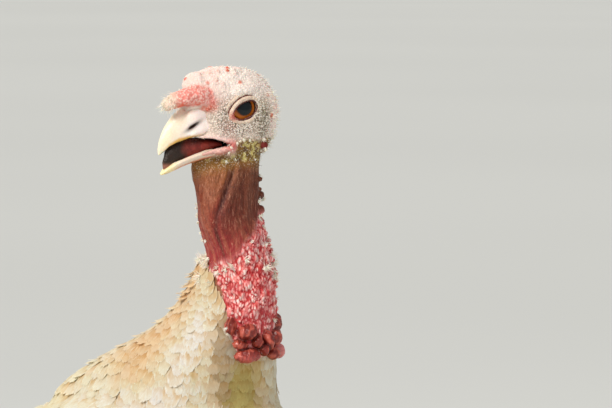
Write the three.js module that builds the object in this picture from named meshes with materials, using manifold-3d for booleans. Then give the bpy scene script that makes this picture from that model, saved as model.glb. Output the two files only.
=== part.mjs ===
// A young domestic turkey, life size, standing at rest with its neck up and its head turned over
// its right shoulder. Millimetres, +Z up. The bird's body faces -Y and its left side is +X.
// Three frames are used: the bird's own frame; the body frame, whose s axis runs tailward down the
// back and whose n axis is square to it; and the head frame, with f forward to the beak, l to the
// head's left and u up.
import * as THREE from "three";
import { mergeVertices } from "three/addons/utils/BufferGeometryUtils.js";
import Module from "manifold-3d";

const wasm = await Module();
wasm.setup();

// ---------------------------------------------------------------- driving dimensions
const GAP = 0.3; // air between nodes that touch
const EYE_HEIGHT = 612;
const NECK_Y = -95; // where the upper neck's axis stands, ahead of the feet
const BODY_HEIGHT = 300; // height of the body frame's origin
const BODY_TILT = 30; // how far the back slopes down to the tail, degrees
const TORSO_END = 205; // s where the torso meets the tail
const TAIL_TILT = 28; // slope of the tail feathers, degrees
const VANE_THICKNESS = 0.6;
const HEAD_YAW = 160; // heading of the beak, degrees from +X; the body heads for 270
const NECK_HEAD_CUT = 573; // heights of the level cuts that part the head and neck
const NECK_MIDDLE_CUT = 530;
const SKIN_EDGE = { y: -117, z: 441.5, slope: 63 }; // the cut where bare skin meets the feathers
const COLLAR_EDGE = { y: -110, z: 404, slope: 19 }; // the sloping cut at the foot of the neck

const COLOURS = {
  cream: { color: 0xe9d9b8, roughness: 0.85, metalness: 0 },
  head: { color: 0xe6d5cd, roughness: 0.6, metalness: 0 },
  neck: { color: 0x8f3b34, roughness: 0.5, metalness: 0 },
  caruncle: { color: 0xb5424a, roughness: 0.4, metalness: 0 },
  snood: { color: 0xdf7c73, roughness: 0.5, metalness: 0 },
  horn: { color: 0xe8d9c0, roughness: 0.35, metalness: 0 },
  mouth: { color: 0x8a2a2f, roughness: 0.35, metalness: 0 },
  eye: { color: 0x2a1408, roughness: 0.1, metalness: 0 },
  leg: { color: 0xd9a79b, roughness: 0.55, metalness: 0 },
};

// ---------------------------------------------------------------- small tools
const DEG = Math.PI / 180;
const vec = (x, y, z) => new THREE.Vector3(x, y, z);
const mix = (a, b, t) => a + (b - a) * t;

// The row of a station table at key t, read along smooth curves. Each row is [key, value, ...].
function stationAt(table, t) {
  const last = table.length - 1;
  const key = Math.min(Math.max(t, table[0][0]), table[last][0]);
  let i = 0;
  while (i < last - 1 && key > table[i + 1][0]) i++;
  const slope = (j, c) => {
    const a = table[Math.max(j - 1, 0)];
    const b = table[Math.min(j + 1, last)];
    return (b[c] - a[c]) / (b[0] - a[0]);
  };
  const [from, to] = [table[i], table[i + 1]];
  const span = to[0] - from[0];
  const u = (key - from[0]) / span;
  return from.slice(1).map((_, k) => {
    const c = k + 1;
    const ease = u * u * (3 - 2 * u);
    const leave = u * (1 - u) * (1 - u) * span;
    const arrive = u * u * (u - 1) * span;
    return from[c] + (to[c] - from[c]) * ease + slope(i, c) * leave + slope(i + 1, c) * arrive;
  });
}

// A seeded random draw from 0 to 1, the same on every run.
function randomDraw(seed) {
  let state = seed;
  return () => {
    state = (state * 1664525 + 1013904223) % 4294967296;
    return state / 4294967296;
  };
}

// A closed body's solid from its points and triangles, with its faces turned out.
function solidFrom(points, triangles) {
  const geometry = new THREE.BufferGeometry().setFromPoints(points);
  geometry.setIndex(triangles);
  return solidOf(geometry);
}

function solidOf(geometry) {
  const plain = geometry.clone();
  plain.deleteAttribute("normal");
  plain.deleteAttribute("uv");
  const merged = mergeVertices(plain, 1e-3);
  const triVerts = new Uint32Array(merged.index.array);
  const mesh = { numProp: 3, vertProperties: merged.attributes.position.array, triVerts };
  const solid = new wasm.Manifold(new wasm.Mesh(mesh));
  if (solid.volume() > 0) return solid;
  for (let i = 0; i < triVerts.length; i += 3) {
    [triVerts[i + 1], triVerts[i + 2]] = [triVerts[i + 2], triVerts[i + 1]];
  }
  return new wasm.Manifold(new wasm.Mesh(mesh));
}

const join = (solids) => solids.reduce((sum, solid) => sum.add(solid));
const cut = (solid, cutters) => cutters.reduce((left, cutter) => left.subtract(cutter), solid);

// The largest closed surface of a solid.
function largest(solid) {
  const bodies = solid.decompose();
  return bodies.reduce((best, body) => (body.volume() > best.volume() ? body : best));
}

// A body through rings of points, each ring with as many points as the next, closed at both ends.
function loft(rings) {
  const count = rings[0].length;
  const points = rings.flat();
  const triangles = [];
  for (let i = 0; i + 1 < rings.length; i++) {
    for (let j = 0; j < count; j++) {
      const [a, b] = [i * count + j, i * count + ((j + 1) % count)];
      triangles.push(a, b, a + count, b, b + count, a + count);
    }
  }
  for (const end of [0, rings.length - 1]) {
    const middle = points.length;
    points.push(rings[end].reduce((sum, p) => sum.clone().add(p), vec(0, 0, 0)).divideScalar(count));
    for (let j = 0; j < count; j++) {
      const [a, b] = [end * count + j, end * count + ((j + 1) % count)];
      triangles.push(...(end === 0 ? [middle, b, a] : [middle, a, b]));
    }
  }
  return solidFrom(points, triangles);
}

// An oval ring about a centre: half wide along side, reaching up along top and down the other way.
function oval(centre, side, top, half, up, down, count) {
  return Array.from({ length: count }, (_, j) => {
    const turn = (j / count) * 2 * Math.PI;
    const rise = Math.cos(turn);
    return centre
      .clone()
      .addScaledVector(side, half * Math.sin(turn))
      .addScaledVector(top, rise * (rise > 0 ? up : down));
  });
}

// A round limb along a path of [x, y, z, radius] stations, with `between` rings from each station
// to the next. It is grown by `out` all over, and `across` is a direction that the path never takes.
function limb(stations, count, between, out, across) {
  const path = new THREE.CatmullRomCurve3(stations.map(([x, y, z]) => vec(x, y, z)));
  const radii = stations.map((row, i) => [i, row[3]]);
  const total = (stations.length - 1) * between;
  const rings = Array.from({ length: total + 1 }, (_, i) => {
    const along = i / total;
    const tangent = path.getTangent(along);
    const side = across.clone().addScaledVector(tangent, -tangent.dot(across)).normalize();
    const top = side.clone().cross(tangent).normalize();
    const radius = stationAt(radii, along * (stations.length - 1))[0] + out;
    const end = i === 0 ? -out : i === total ? out : 0;
    const centre = path.getPoint(along).addScaledVector(tangent, end);
    return oval(centre, side, top, radius, radius, radius, count);
  });
  return loft(rings);
}

// A rounded blob with the given half sizes, turned about its own axes and set at a point.
function blob(centre, halves, turn = new THREE.Euler(), around = 8, rows = 6) {
  const geometry = new THREE.SphereGeometry(1, around, rows);
  geometry.scale(halves.x, halves.y, halves.z);
  geometry.applyMatrix4(new THREE.Matrix4().makeRotationFromEuler(turn));
  geometry.translate(centre.x, centre.y, centre.z);
  return solidOf(geometry);
}

// A box between two corners, as a cutter.
function block(low, high) {
  const geometry = new THREE.BoxGeometry(high.x - low.x, high.y - low.y, high.z - low.z);
  geometry.translate((low.x + high.x) / 2, (low.y + high.y) / 2, (low.z + high.z) / 2);
  return solidOf(geometry);
}

const WIDE = 900;
const between = (low, high) => block(vec(-WIDE, -WIDE, low), vec(WIDE, WIDE, high));

// A thick slab above a cut that slopes up towards the tail, as a cutter; drop lowers its underside.
function slabAbove({ y, z, slope }, drop = 0) {
  const slab = new THREE.BoxGeometry(2 * WIDE, 2 * WIDE, WIDE);
  slab.translate(0, 0, WIDE / 2 - drop);
  slab.rotateX(slope * DEG);
  slab.translate(0, y, z);
  return solidOf(slab);
}

// ---------------------------------------------------------------- body frame and torso
const TAILWARD = vec(0, Math.cos(BODY_TILT * DEG), -Math.sin(BODY_TILT * DEG));
const BACKWARD_UP = vec(0, Math.sin(BODY_TILT * DEG), Math.cos(BODY_TILT * DEG));
const LEFT = vec(1, 0, 0);
const bodyFrame = (x, s, n) =>
  vec(x, 0, BODY_HEIGHT).addScaledVector(TAILWARD, s).addScaledVector(BACKWARD_UP, n);

// The body's outline by s: n of the back, n of the belly, half width. It runs on past the torso
// along the tail's root.
const BODY = [
  [-166, -35, -62, 12],
  [-158, 0, -85, 46],
  [-138, 48, -103, 70],
  [-105, 88, -115, 91],
  [-60, 114, -119, 103],
  [-10, 124, -113, 105],
  [50, 127, -94, 99],
  [100, 122, -64, 86],
  [150, 112, -20, 67],
  [205, 97, 33, 45],
  [260, 85, 50, 35],
  [340, 76, 57, 30],
];
const WIDEST = 0.5; // level of the greatest width, as a share of the depth from the belly

// A point of the body's surface: s along it, turn in radians from the back (0) round by the left side.
function bodyPoint(s, turn, out = 0) {
  const at = (s1, turn1) => {
    const [back, belly, half] = stationAt(BODY, s1);
    const level = mix(belly, back, WIDEST);
    const rise = Math.cos(turn1);
    return bodyFrame(half * Math.sin(turn1), s1, level + rise * (rise > 0 ? back - level : level - belly));
  };
  const point = at(s, turn);
  if (!out) return point;
  const step = 0.5;
  const along = at(s + step, turn).sub(at(s - step, turn));
  const around = at(s, turn + step / 50).sub(at(s, turn - step / 50));
  return point.addScaledVector(along.cross(around).normalize(), -out);
}

const TORSO_S = [-166, -162, -154, -138, -112, -75, -30, 20, 65, 110, 150, 180, TORSO_END];
const TORSO_AROUND = 20;
function torsoLoft(out) {
  const rings = TORSO_S.map((s) =>
    Array.from({ length: TORSO_AROUND }, (_, j) => bodyPoint(s, (j / TORSO_AROUND) * 2 * Math.PI, out)),
  );
  return loft(rings);
}

// ---------------------------------------------------------------- neck
// The collar is the feathered foot of the neck, by height: y of its axis, reach to the front and
// to the back, half width.
const COLLAR = [
  [352, -60, 74, 100, 74],
  [385, -66, 60, 128, 65],
  [405, -70, 43, 139, 58],
  [415, -72, 34.5, 135, 55],
  [426, -75, 31, 122, 52],
  [441, -80, 28, 99, 47],
  [460, -88, 21, 69, 37.5],
  [474, -92, 18, 54, 30.5],
  [487, -95, 16, 45, 26.5],
  [500, -96, 16, 38, 24],
  [514, -95, 16, 31, 22],
  [526, -94, 14, 23, 18.5],
];
// The bare neck, by height: x, y, heading of its front, reach to the front, to the back and to each side.
const NECK = [
  [425, 0, -88, 270, 24, 26, 26],
  [450, 0, -92.5, 270, 24.5, 24, 25],
  [487, 0, -97, 264, 22, 22, 22],
  [513, -1, -95, 238, 22, 20, 21],
  [540, -4.6, -90.1, 200, 27, 18, 20.6],
  [557, -3.3, -91.9, 176, 31, 16, 18.5],
  [573, -1.2, -93.5, 162, 34, 14, 16.5],
  [596, -0.6, -94.2, 160, 33, 15, 16.5],
];
const NECK_AROUND = 18;

function collarLoft(out) {
  const heights = [352, 385, 405, 418, 433, 450, 468, 487, 500, 513];
  const rings = heights.map((z) => {
    const [y, front, back, half] = stationAt(COLLAR, z);
    const level = z === heights[0] ? z - out : z + out;
    return oval(vec(0, y, level), LEFT, vec(0, 1, 0), half + out, back + out, front + out, NECK_AROUND);
  });
  return loft(rings);
}

// A point of the bare neck's surface at height z and a turn from its front, anticlockwise from
// above. The throat's loose skin is pinched to a narrower fold towards the front.
function neckPoint(z, turn, out = 0) {
  const [x, y, heading, front, back, half] = stationAt(NECK, z);
  const [ahead, aside] = [Math.cos(turn), Math.sin(turn)];
  const reach = (ahead > 0 ? front : back) + out;
  const fold = front > 26 && ahead > 0 ? 0.3 * ahead * Math.min((front - 26) / 6, 1) : 0;
  const forward = vec(Math.cos(heading * DEG), Math.sin(heading * DEG), 0);
  const side = vec(-forward.y, forward.x, 0);
  return vec(x, y, z)
    .addScaledVector(forward, reach * ahead)
    .addScaledVector(side, (half * (1 - fold) + out) * aside);
}

function neckLoft(out) {
  const heights = [425, 450, 475, 497, 515, 531, 545, 557, 569, 582, 596];
  const rings = heights.map((z) =>
    Array.from({ length: NECK_AROUND }, (_, j) => neckPoint(z, (j / NECK_AROUND) * 2 * Math.PI, out)),
  );
  return loft(rings);
}

// Bulbs and folds that grow on the neck, each a blob sunk by half into the surface.
function neckBulb(z, turn, radius, tall) {
  const centre = neckPoint(z, turn, radius * 0.15);
  return blob(centre, vec(radius, radius, radius * tall), new THREE.Euler(0, 0, turn), 5, 4);
}

// The major caruncles: rows of large bulbs hung round the front of the neck's foot.
const BULB_ROWS = [
  { z: 449, count: 4, spread: 44, radius: 6.8, out: 2.2 },
  { z: 460, count: 4, spread: 44, radius: 6.4, out: 1.4 },
  { z: 471, count: 5, spread: 58, radius: 5.2, out: 0.6 },
];
function majorCaruncles() {
  const draw = randomDraw(7);
  return BULB_ROWS.flatMap(({ z, count, spread, radius, out }) =>
    Array.from({ length: count }, (_, i) => {
      const turn = (mix(-spread, spread, i / (count - 1)) - 8) * DEG;
      const size = radius * (0.86 + 0.28 * draw());
      const middle = neckPoint(z, turn, out).setZ(z + 4 * (draw() - 0.5));
      return blob(middle, vec(size, size, size * 1.15), new THREE.Euler(0, 0, turn), 6, 5);
    }),
  );
}

// The small red folds above them, in staggered rows that thin out upward.
function minorCaruncles(low, high) {
  const draw = randomDraw(23);
  const bumps = [];
  for (let z = 482, row = 0; z < 552; z += 11, row++) {
    const spread = mix(100, 40, (z - 482) / 70);
    const count = Math.round(spread / 19);
    for (let i = 0; i < count; i++) {
      const turn = (mix(-spread, spread, (i + (row % 2 ? 0.5 : 0)) / count) + 6 * draw() + 20) * DEG;
      const radius = 2.7 + 1.4 * draw();
      const level = z + 2 * draw();
      if (level - 1.6 * radius < low || level + 1.6 * radius > high) continue;
      bumps.push(neckBulb(level, turn, radius, 1.5));
    }
  }
  return bumps;
}

// Rows of beads down the back and sides of the neck, each the root of a few bristles.
function neckBeads(low, high) {
  const draw = randomDraw(41);
  const beads = [];
  for (const rowTurn of [128, 170]) {
    for (let z = 520; z < 570; z += 11) {
      const radius = 1.7 + 0.9 * draw();
      const level = z + 3 * draw();
      if (level - radius < low + 1 || level + radius > high - 1) continue;
      beads.push(neckBulb(level, (rowTurn + 8 * draw()) * DEG, radius, 1));
    }
  }
  return beads;
}

// ---------------------------------------------------------------- head
const HEAD_AT = new THREE.Matrix4()
  .makeRotationZ(HEAD_YAW * DEG)
  .setPosition(5 * Math.cos(HEAD_YAW * DEG), NECK_Y + 5 * Math.sin(HEAD_YAW * DEG), EYE_HEIGHT);
const inHead = (solid) => solid.transform(HEAD_AT.elements);
const LEFT_OF_HEAD = vec(0, 1, 0);

// The head's flesh by f: u of the crown, u of the throat, half width, u of the greatest width.
const HEAD = [
  [-29, 2, -9, 5, -3],
  [-27.3, 10, -18, 11, -2],
  [-21.5, 20, -28, 16, -2],
  [-11, 26, -36, 19, -3],
  [0, 28, -39, 18, -4],
  [11, 28.3, -38.5, 16.5, -5],
  [19, 27.5, -37, 15.3, -6],
  [26, 25, -35.5, 14, -8],
  [32, 20.5, -33, 12.2, -8],
  [36, 14.5, -22, 10, -3],
  [38.5, 8, -4, 6.5, 2],
];
const HEAD_AROUND = 18;
function headLoft() {
  const stations = [-29, -27, -22, -15, -6, 3, 11, 19, 26, 32, 36, 38.5];
  const rings = stations.map((f) => {
    const [crown, throat, half, widest] = stationAt(HEAD, f);
    const [up, down] = [crown - widest, widest - throat];
    return oval(vec(f, 0, widest), LEFT_OF_HEAD, vec(0, 0, 1), half, up, down, HEAD_AROUND);
  });
  return loft(rings);
}

// The eye: its middle's distance to the side, its half sizes, and the opening between the lids,
// whose front corner is the lower one.
const EYE = { l: 9.6, halves: vec(11.2, 8.2, 10.4), openLong: 9.2, openHigh: 5.3, tilt: 24 };
const EYE_ALONG = vec(Math.cos(EYE.tilt * DEG), 0, -Math.sin(EYE.tilt * DEG));
const EYE_HIGH = vec(Math.sin(EYE.tilt * DEG), 0, Math.cos(EYE.tilt * DEG));
const eyeball = (side, out) =>
  blob(vec(0, side * EYE.l, 0), EYE.halves.clone().addScalar(out), new THREE.Euler(), 12, 7);

// A ring of flesh about the eye's opening: the two lids with their rims.
function lids(side) {
  const [count, around] = [12, 5];
  const points = [];
  for (let i = 0; i < count; i++) {
    const turn = (i / count) * 2 * Math.PI;
    const centre = vec(0, 0, 0)
      .addScaledVector(EYE_ALONG, (EYE.openLong + 1.5) * Math.cos(turn))
      .addScaledVector(EYE_HIGH, (EYE.openHigh + 1.6) * Math.sin(turn));
    const outward = centre.clone().normalize();
    const share = 1 - (centre.x / EYE.halves.x) ** 2 - (centre.z / EYE.halves.z) ** 2;
    centre.setY(side * (EYE.l + 0.2 + EYE.halves.y * Math.sqrt(Math.max(share, 0.02))));
    for (let j = 0; j < around; j++) {
      const swing = (j / around) * 2 * Math.PI;
      const rim = centre.clone().addScaledVector(outward, 1.7 * Math.cos(swing));
      points.push(rim.addScaledVector(LEFT_OF_HEAD, 1.5 * Math.sin(swing)));
    }
  }
  return solidFrom(points, ringTriangles(count, around));
}

// The triangles of a closed ring made of `count` round sections.
function ringTriangles(count, around) {
  const triangles = [];
  for (let i = 0; i < count; i++) {
    const next = ((i + 1) % count) * around;
    for (let j = 0; j < around; j++) {
      const [a, b] = [i * around + j, i * around + ((j + 1) % around)];
      const [c, d] = [next + j, next + ((j + 1) % around)];
      triangles.push(a, b, c, b, d, c);
    }
  }
  return triangles;
}

// An oval shaft out through the lids, which opens the flesh over the eyeball.
function eyeOpening(side) {
  const rings = [0, 1].map((step) => {
    const centre = vec(0, side * (EYE.l + 20 * step), 0);
    const high = EYE.openHigh * (1 + 0.1 * step);
    return oval(centre, EYE_ALONG, EYE_HIGH, EYE.openLong * (1 + 0.1 * step), high, high, 12);
  });
  return loft(rings);
}

// The upper beak along its bent middle line: f, u, half height, half width.
const UPPER_BEAK = [
  [23, -5, 9.5, 10.5],
  [30, -7, 10.8, 10.6],
  [37, -9.3, 10.2, 9.2],
  [44, -14, 8.2, 7],
  [50, -19.6, 5.5, 4.6],
  [54, -25, 2.8, 2.3],
  [56, -29, 0.7, 0.6],
];
const LOWER_BEAK = [
  [19, -28.6, 3.5, 12.2],
  [26, -29.8, 3.4, 11.2],
  [34, -32, 3.3, 9.6],
  [42, -35, 3, 7.4],
  [49, -38.8, 2.3, 4.4],
  [54.5, -42, 0.8, 1.1],
];

// A beak half along its middle line; flatSide is +1 where its underside is flat and -1 where its top is.
function beakHalf(table, out, flatSide) {
  const line = new THREE.CatmullRomCurve3(table.map(([f, u]) => vec(f, 0, u)));
  const sizes = table.map(([, , high, half], i) => [i, high, half]);
  const steps = Math.round((table.length - 1) * 1.6);
  const rings = Array.from({ length: steps + 1 }, (_, i) => {
    const along = i / steps;
    const tangent = line.getTangent(along);
    const up = vec(-tangent.z, 0, tangent.x).normalize();
    const [high, half] = stationAt(sizes, along * (table.length - 1));
    const centre = line.getPoint(along).addScaledVector(up, -flatSide * high * 0.55);
    const [rise, fall] = flatSide > 0 ? [high * 1.55, high * 0.45] : [high * 0.45, high * 1.55];
    const end = i === 0 ? -out : i === steps ? out : 0;
    centre.addScaledVector(tangent, end);
    return oval(centre, LEFT_OF_HEAD, up, half + out, rise + out, fall + out, 10);
  });
  return loft(rings);
}

// The gape: a wedge through the head between the two jaws, and the deeper hollow of the mouth.
function gape() {
  const outline = new THREE.Shape();
  outline.moveTo(8.5, -23.4);
  outline.quadraticCurveTo(15, -18.6, 28, -18);
  outline.lineTo(75, -18);
  outline.lineTo(75, -50);
  outline.lineTo(42, -32.5);
  outline.quadraticCurveTo(28, -26.2, 8.5, -23.4);
  const wide = 60;
  const options = { depth: wide, bevelEnabled: false, curveSegments: 5 };
  const geometry = new THREE.ExtrudeGeometry(outline, options);
  geometry.rotateX(Math.PI / 2);
  geometry.translate(0, wide / 2, 0);
  return solidOf(geometry);
}
const throatHollow = () => blob(vec(19, 0, -22.6), vec(17, 10, 4.2), new THREE.Euler(0, 0.12, 0), 10, 6);
const lowerTrough = () => blob(vec(31, 0, -27), vec(20, 7.4, 3.7), new THREE.Euler(0, 0.34, 0), 10, 6);
const palate = () => blob(vec(36, 0, -20), vec(15, 6.2, 5), new THREE.Euler(0, 0.5, 0), 10, 6);

const tongue = (out) =>
  blob(vec(28, 0, -28.6), vec(14 + out, 4.6 + out, 1.5 + out), new THREE.Euler(0, 0.3, 0), 10, 6);

// The nostril: a swollen flap over a slanting slit.
const NOSTRIL = { f: 34, u: -8, l: 9.4 };
function nostrilFlap(side, out) {
  const centre = vec(NOSTRIL.f + 1, side * (NOSTRIL.l - 4.2), NOSTRIL.u + 4.5);
  return blob(centre, vec(7.5, 4.6, 5.6).addScalar(out), new THREE.Euler(0, 0.7, 0), 10, 6);
}
const nostrilSlit = (side) =>
  blob(vec(NOSTRIL.f, side * NOSTRIL.l, NOSTRIL.u), vec(5.4, 2.6, 1.2), new THREE.Euler(0, 0.72, 0), 8, 6);

// The snood, a soft finger that springs from the forehead and leans over the beak: f, l, u, radius.
const SNOOD = [
  [20, 5, 8, 4.6],
  [28, 9, 9.8, 5.4],
  [36, 9, 10.3, 5.8],
  [44, 7, 8.8, 5.1],
  [51, 4.5, 6.6, 3.6],
  [57, 2, 3.6, 1.5],
];
const snood = (out) => limb(SNOOD, 10, 2, out, LEFT_OF_HEAD);

// Small fleshy bumps on the crown and the back of the head.
function headBumps() {
  const draw = randomDraw(5);
  const bumps = [];
  const count = 7;
  for (let i = 0; i < count; i++) {
    const f = mix(-27, 16, (i + draw()) / count);
    const turn = (draw() * 150 - 75) * DEG;
    const [crown, , half, widest] = stationAt(HEAD, f);
    const radius = 1.3 + 1.2 * draw();
    const centre = vec(f, half * Math.sin(turn), widest + (crown - widest) * Math.cos(turn));
    bumps.push(blob(centre, vec(radius, radius, radius), new THREE.Euler(), 5, 4));
  }
  return bumps;
}

// The ear: a shallow cup behind and below the eye.
const EAR = { f: -15, u: -17, l: 17.5 };
const earCup = (side) => blob(vec(EAR.f, side * EAR.l, EAR.u), vec(3, 3.4, 3.4), new THREE.Euler(), 6, 4);

function headSolid() {
  const flesh = join([
    headLoft(),
    lids(-1),
    lids(1),
    ...headBumps(),
  ]);
  const hollow = cut(flesh, [
    ...[-1, 1].flatMap((side) => [eyeOpening(side), eyeball(side, GAP), earCup(side)]),
    gape(),
    throatHollow(),
    lowerTrough(),
    palate(),
    beakHalf(UPPER_BEAK, GAP, 1),
    nostrilFlap(-1, GAP),
    nostrilFlap(1, GAP),
    beakHalf(LOWER_BEAK, GAP, -1),
    snood(GAP),
    tongue(GAP),
  ]);
  const throat = cut(neckLoft(0), [between(0, NECK_HEAD_CUT)]);
  const cleared = cut(throat, [
    inHead(join([gape(), throatHollow(), lowerTrough()])),
    inHead(join([beakHalf(UPPER_BEAK, GAP, 1), beakHalf(LOWER_BEAK, GAP, -1)])),
    ...[-1, 1].map((side) => inHead(eyeball(side, GAP))),
    inHead(tongue(GAP)),
  ]);
  return largest(cut(inHead(hollow).add(cleared), [between(0, NECK_HEAD_CUT)]));
}

function upperBeakSolid() {
  const horn = join([beakHalf(UPPER_BEAK, 0, 1), nostrilFlap(-1, 0), nostrilFlap(1, 0)]);
  return largest(inHead(cut(horn, [palate(), gapeFloor(), nostrilSlit(-1), nostrilSlit(1), snood(GAP)])));
}
// The hollow under the upper beak, which its edges stand round.
const gapeFloor = () => blob(vec(40, 0, -21.5), vec(13, 5.2, 4.2), new THREE.Euler(0, 0.72, 0), 10, 6);

function lowerBeakSolid() {
  return largest(inHead(cut(beakHalf(LOWER_BEAK, 0, -1), [lowerTrough(), throatHollow(), tongue(GAP)])));
}

// ---------------------------------------------------------------- feathers
// A vane: a thin flat-sided plate from its root to its rounded tip. The outline holds [share of
// the length, share of the width] stations, and place(along, across, out) sets a point. Both faces
// are split into triangles alike.
const FLIGHT_OUTLINE = [[0, 0.4], [0.4, 0.92], [0.82, 0.95], [0.95, 0.62], [1, 0.2]];
const COVERT_OUTLINE = [[0, 0.5], [0.5, 1], [0.85, 0.84], [1, 0.28]];
function vane(outline, length, width, place) {
  const points = [];
  for (const [share, wide] of outline) {
    const thick = VANE_THICKNESS * (share === 1 ? 0.7 : 1);
    for (const [across, out] of [[-0.5, 0.5], [0.5, 0.5], [0.5, -0.5], [-0.5, -0.5]]) {
      points.push(place(share * length, across * wide * width, out * thick));
    }
  }
  const triangles = [0, 2, 1, 0, 3, 2];
  for (let a = 0; a + 4 < points.length; a += 4) {
    const [b, c, d] = [a + 1, a + 2, a + 3];
    triangles.push(a, b, a + 4, b, b + 4, a + 4, b, c, b + 4, c, c + 4, b + 4);
    triangles.push(c, d, d + 4, c, d + 4, c + 4, d, a, d + 4, a, a + 4, d + 4);
  }
  const e = points.length - 4;
  triangles.push(e, e + 1, e + 2, e, e + 2, e + 3);
  return solidFrom(points, triangles);
}

// ---------------------------------------------------------------- wings
// The folded wing lies on a shell that follows the body's side, and stands off it over the rump.
// By s: n of the shell's widest line, its half width, its half height.
const SHELL = [
  [-166, -48, 12, 14],
  [-158, -42, 46, 43],
  [-138, -27.5, 70, 75.5],
  [-105, -13.5, 91, 101.5],
  [-60, -2.5, 103, 116.5],
  [-10, 5.5, 105, 118.5],
  [50, 17, 99.5, 111],
  [100, 28, 90, 98],
  [150, 40, 76, 88],
  [205, 52, 61, 76],
  [290, 66, 45, 62],
];
// A point beside the body: s along it, a up round the shell from its widest line in mm, and out from it.
function onSide(side, s, a, out) {
  const at = (s1, a1) => {
    const [level, half, high] = stationAt(SHELL, s1);
    const turn = (2 * a1) / (half + high);
    return bodyFrame(side * half * Math.cos(turn), s1, level + high * Math.sin(turn));
  };
  const along = at(s + 0.5, a).sub(at(s - 0.5, a));
  const upward = at(s, a + 0.5).sub(at(s, a - 0.5));
  return at(s, a).addScaledVector(along.cross(upward).normalize(), side * out);
}

// The wing's arm under its coverts, by s: a of its lower edge, a of its upper edge, greatest thickness.
const WING_ARM = [
  [-134, -4, 30, 4],
  [-124, -24, 36, 10],
  [-100, -44, 56, 14.5],
  [-60, -54, 68, 14],
  [-25, -58, 74, 11.5],
  [0, -58, 76, 7.5],
  [18, -52, 70, 3.6],
  [34, -44, 46, 2.6],
];
function wingArm(side, out) {
  const stations = [-134, -129, -116, -92, -58, -25, 4, 18, 34];
  const across = 7;
  const rings = stations.map((s, i) => {
    const [lowest, highest, thickest] = stationAt(WING_ARM, s);
    const [low, high, thick] = [lowest - out, highest + out, thickest + out];
    const along = i === 0 ? s - out : i === stations.length - 1 ? s + out : s;
    const ring = [];
    for (let j = 0; j < across; j++) {
      const share = j / (across - 1);
      const dome = Math.sqrt(1 - (2 * share - 1) ** 2);
      ring.push(onSide(side, along, mix(low, high, share), mix(2 + out, thick, dome)));
    }
    for (let j = across - 1; j >= 0; j--) {
      ring.push(onSide(side, along, mix(low, high, j / (across - 1)), 0.9 - out));
    }
    return ring;
  });
  return loft(rings);
}

// A vane that follows the body's side from a root to a tip in (s, a). Its height goes from one
// value to another, and its lower edge is raised over its neighbour's upper edge.
function sideVane(side, outline, root, tip, width, heights, lift) {
  const length = Math.hypot(tip[0] - root[0], tip[1] - root[1]);
  const [ds, da] = [(tip[0] - root[0]) / length, (tip[1] - root[1]) / length];
  return vane(outline, length, width, (along, across, out) => {
    const height = mix(heights[0], heights[1], along / length) - lift * across + out;
    return onSide(side, root[0] + ds * along - da * across, root[1] + da * along + ds * across, height);
  });
}

// Rows of feathers that follow the side: from the first root and tip (the lowest) to the last
// (the uppermost).
const WING_ROWS = [
  { count: 7, outline: FLIGHT_OUTLINE, root: [[-30, -40], [20, 60]], tip: [[132, -52], [208, 56]],
    width: 34, heights: [4.6, 4.2], lift: 0.16 },
  { count: 5, outline: COVERT_OUTLINE, root: [[-58, -38], [-12, 58]], tip: [[30, -50], [82, 62]],
    width: 37, heights: [9.4, 11], lift: 0.12 },
  { count: 4, outline: COVERT_OUTLINE, root: [[-86, -28], [-52, 50]], tip: [[-22, -40], [14, 56]],
    width: 39, heights: [11, 16.5], lift: 0.1 },
];
function rowVanes(side, { count, outline, root, tip, width, heights, lift }) {
  return Array.from({ length: count }, (_, i) => {
    const share = i / (count - 1);
    const at = (ends) => [mix(ends[0][0], ends[1][0], share), mix(ends[0][1], ends[1][1], share)];
    return sideVane(side, outline, at(root), at(tip), width, heights, lift);
  });
}

// The primaries are stiff: a flat stack from the wrist to the tip of the folded wing, each one
// over the last.
const PRIMARIES = { count: 4, width: 21, step: 0.92, fan: 1, stagger: 13 };
const WRIST = [0, -30, 2];
const WING_TIP = [280, -2, 1];
function primaryVanes(side) {
  const { count, width, step, fan, stagger } = PRIMARIES;
  const root = onSide(side, ...WRIST);
  const line = onSide(side, ...WING_TIP).sub(root);
  const length = line.length();
  line.normalize();
  const outward = onSide(side, 150, -5, 10).sub(onSide(side, 150, -5, 0));
  outward.addScaledVector(line, -outward.dot(line)).normalize();
  const upward = outward.clone().cross(line).multiplyScalar(side).normalize();
  return Array.from({ length: count }, (_, i) => {
    const turn = (i - 1) * fan * DEG;
    return vane(FLIGHT_OUTLINE, length - stagger * i, width, (along, across, out) =>
      root
        .clone()
        .addScaledVector(line, along * Math.cos(turn) - across * Math.sin(turn))
        .addScaledVector(upward, along * Math.sin(turn) + across * Math.cos(turn) + 3 * i)
        .addScaledVector(outward, step * i + out),
    );
  });
}

function wingSolid(side, cutters) {
  const rows = WING_ROWS.flatMap((row) => rowVanes(side, row));
  return largest(cut(join([wingArm(side, 0), ...primaryVanes(side), ...rows]), cutters));
}

// ---------------------------------------------------------------- tail
// The rump goes on from the torso, and carries the long tail feathers in a closed fan and their
// coverts in tiers.
const TAIL_ROOT = { s: 226, n: 65 };
const TAIL_LINE = vec(0, Math.cos(TAIL_TILT * DEG), -Math.sin(TAIL_TILT * DEG));
const TAIL_UP = vec(0, Math.sin(TAIL_TILT * DEG), Math.cos(TAIL_TILT * DEG));
function rump(out) {
  const stations = [[TORSO_END + GAP - out, 0], [220, 0.5], [238, 4], [256, 12]];
  const rings = stations.map(([s, inward]) =>
    Array.from({ length: 14 }, (_, j) => bodyPoint(s, (j / 14) * 2 * Math.PI, out - inward)),
  );
  return loft(rings);
}

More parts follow.
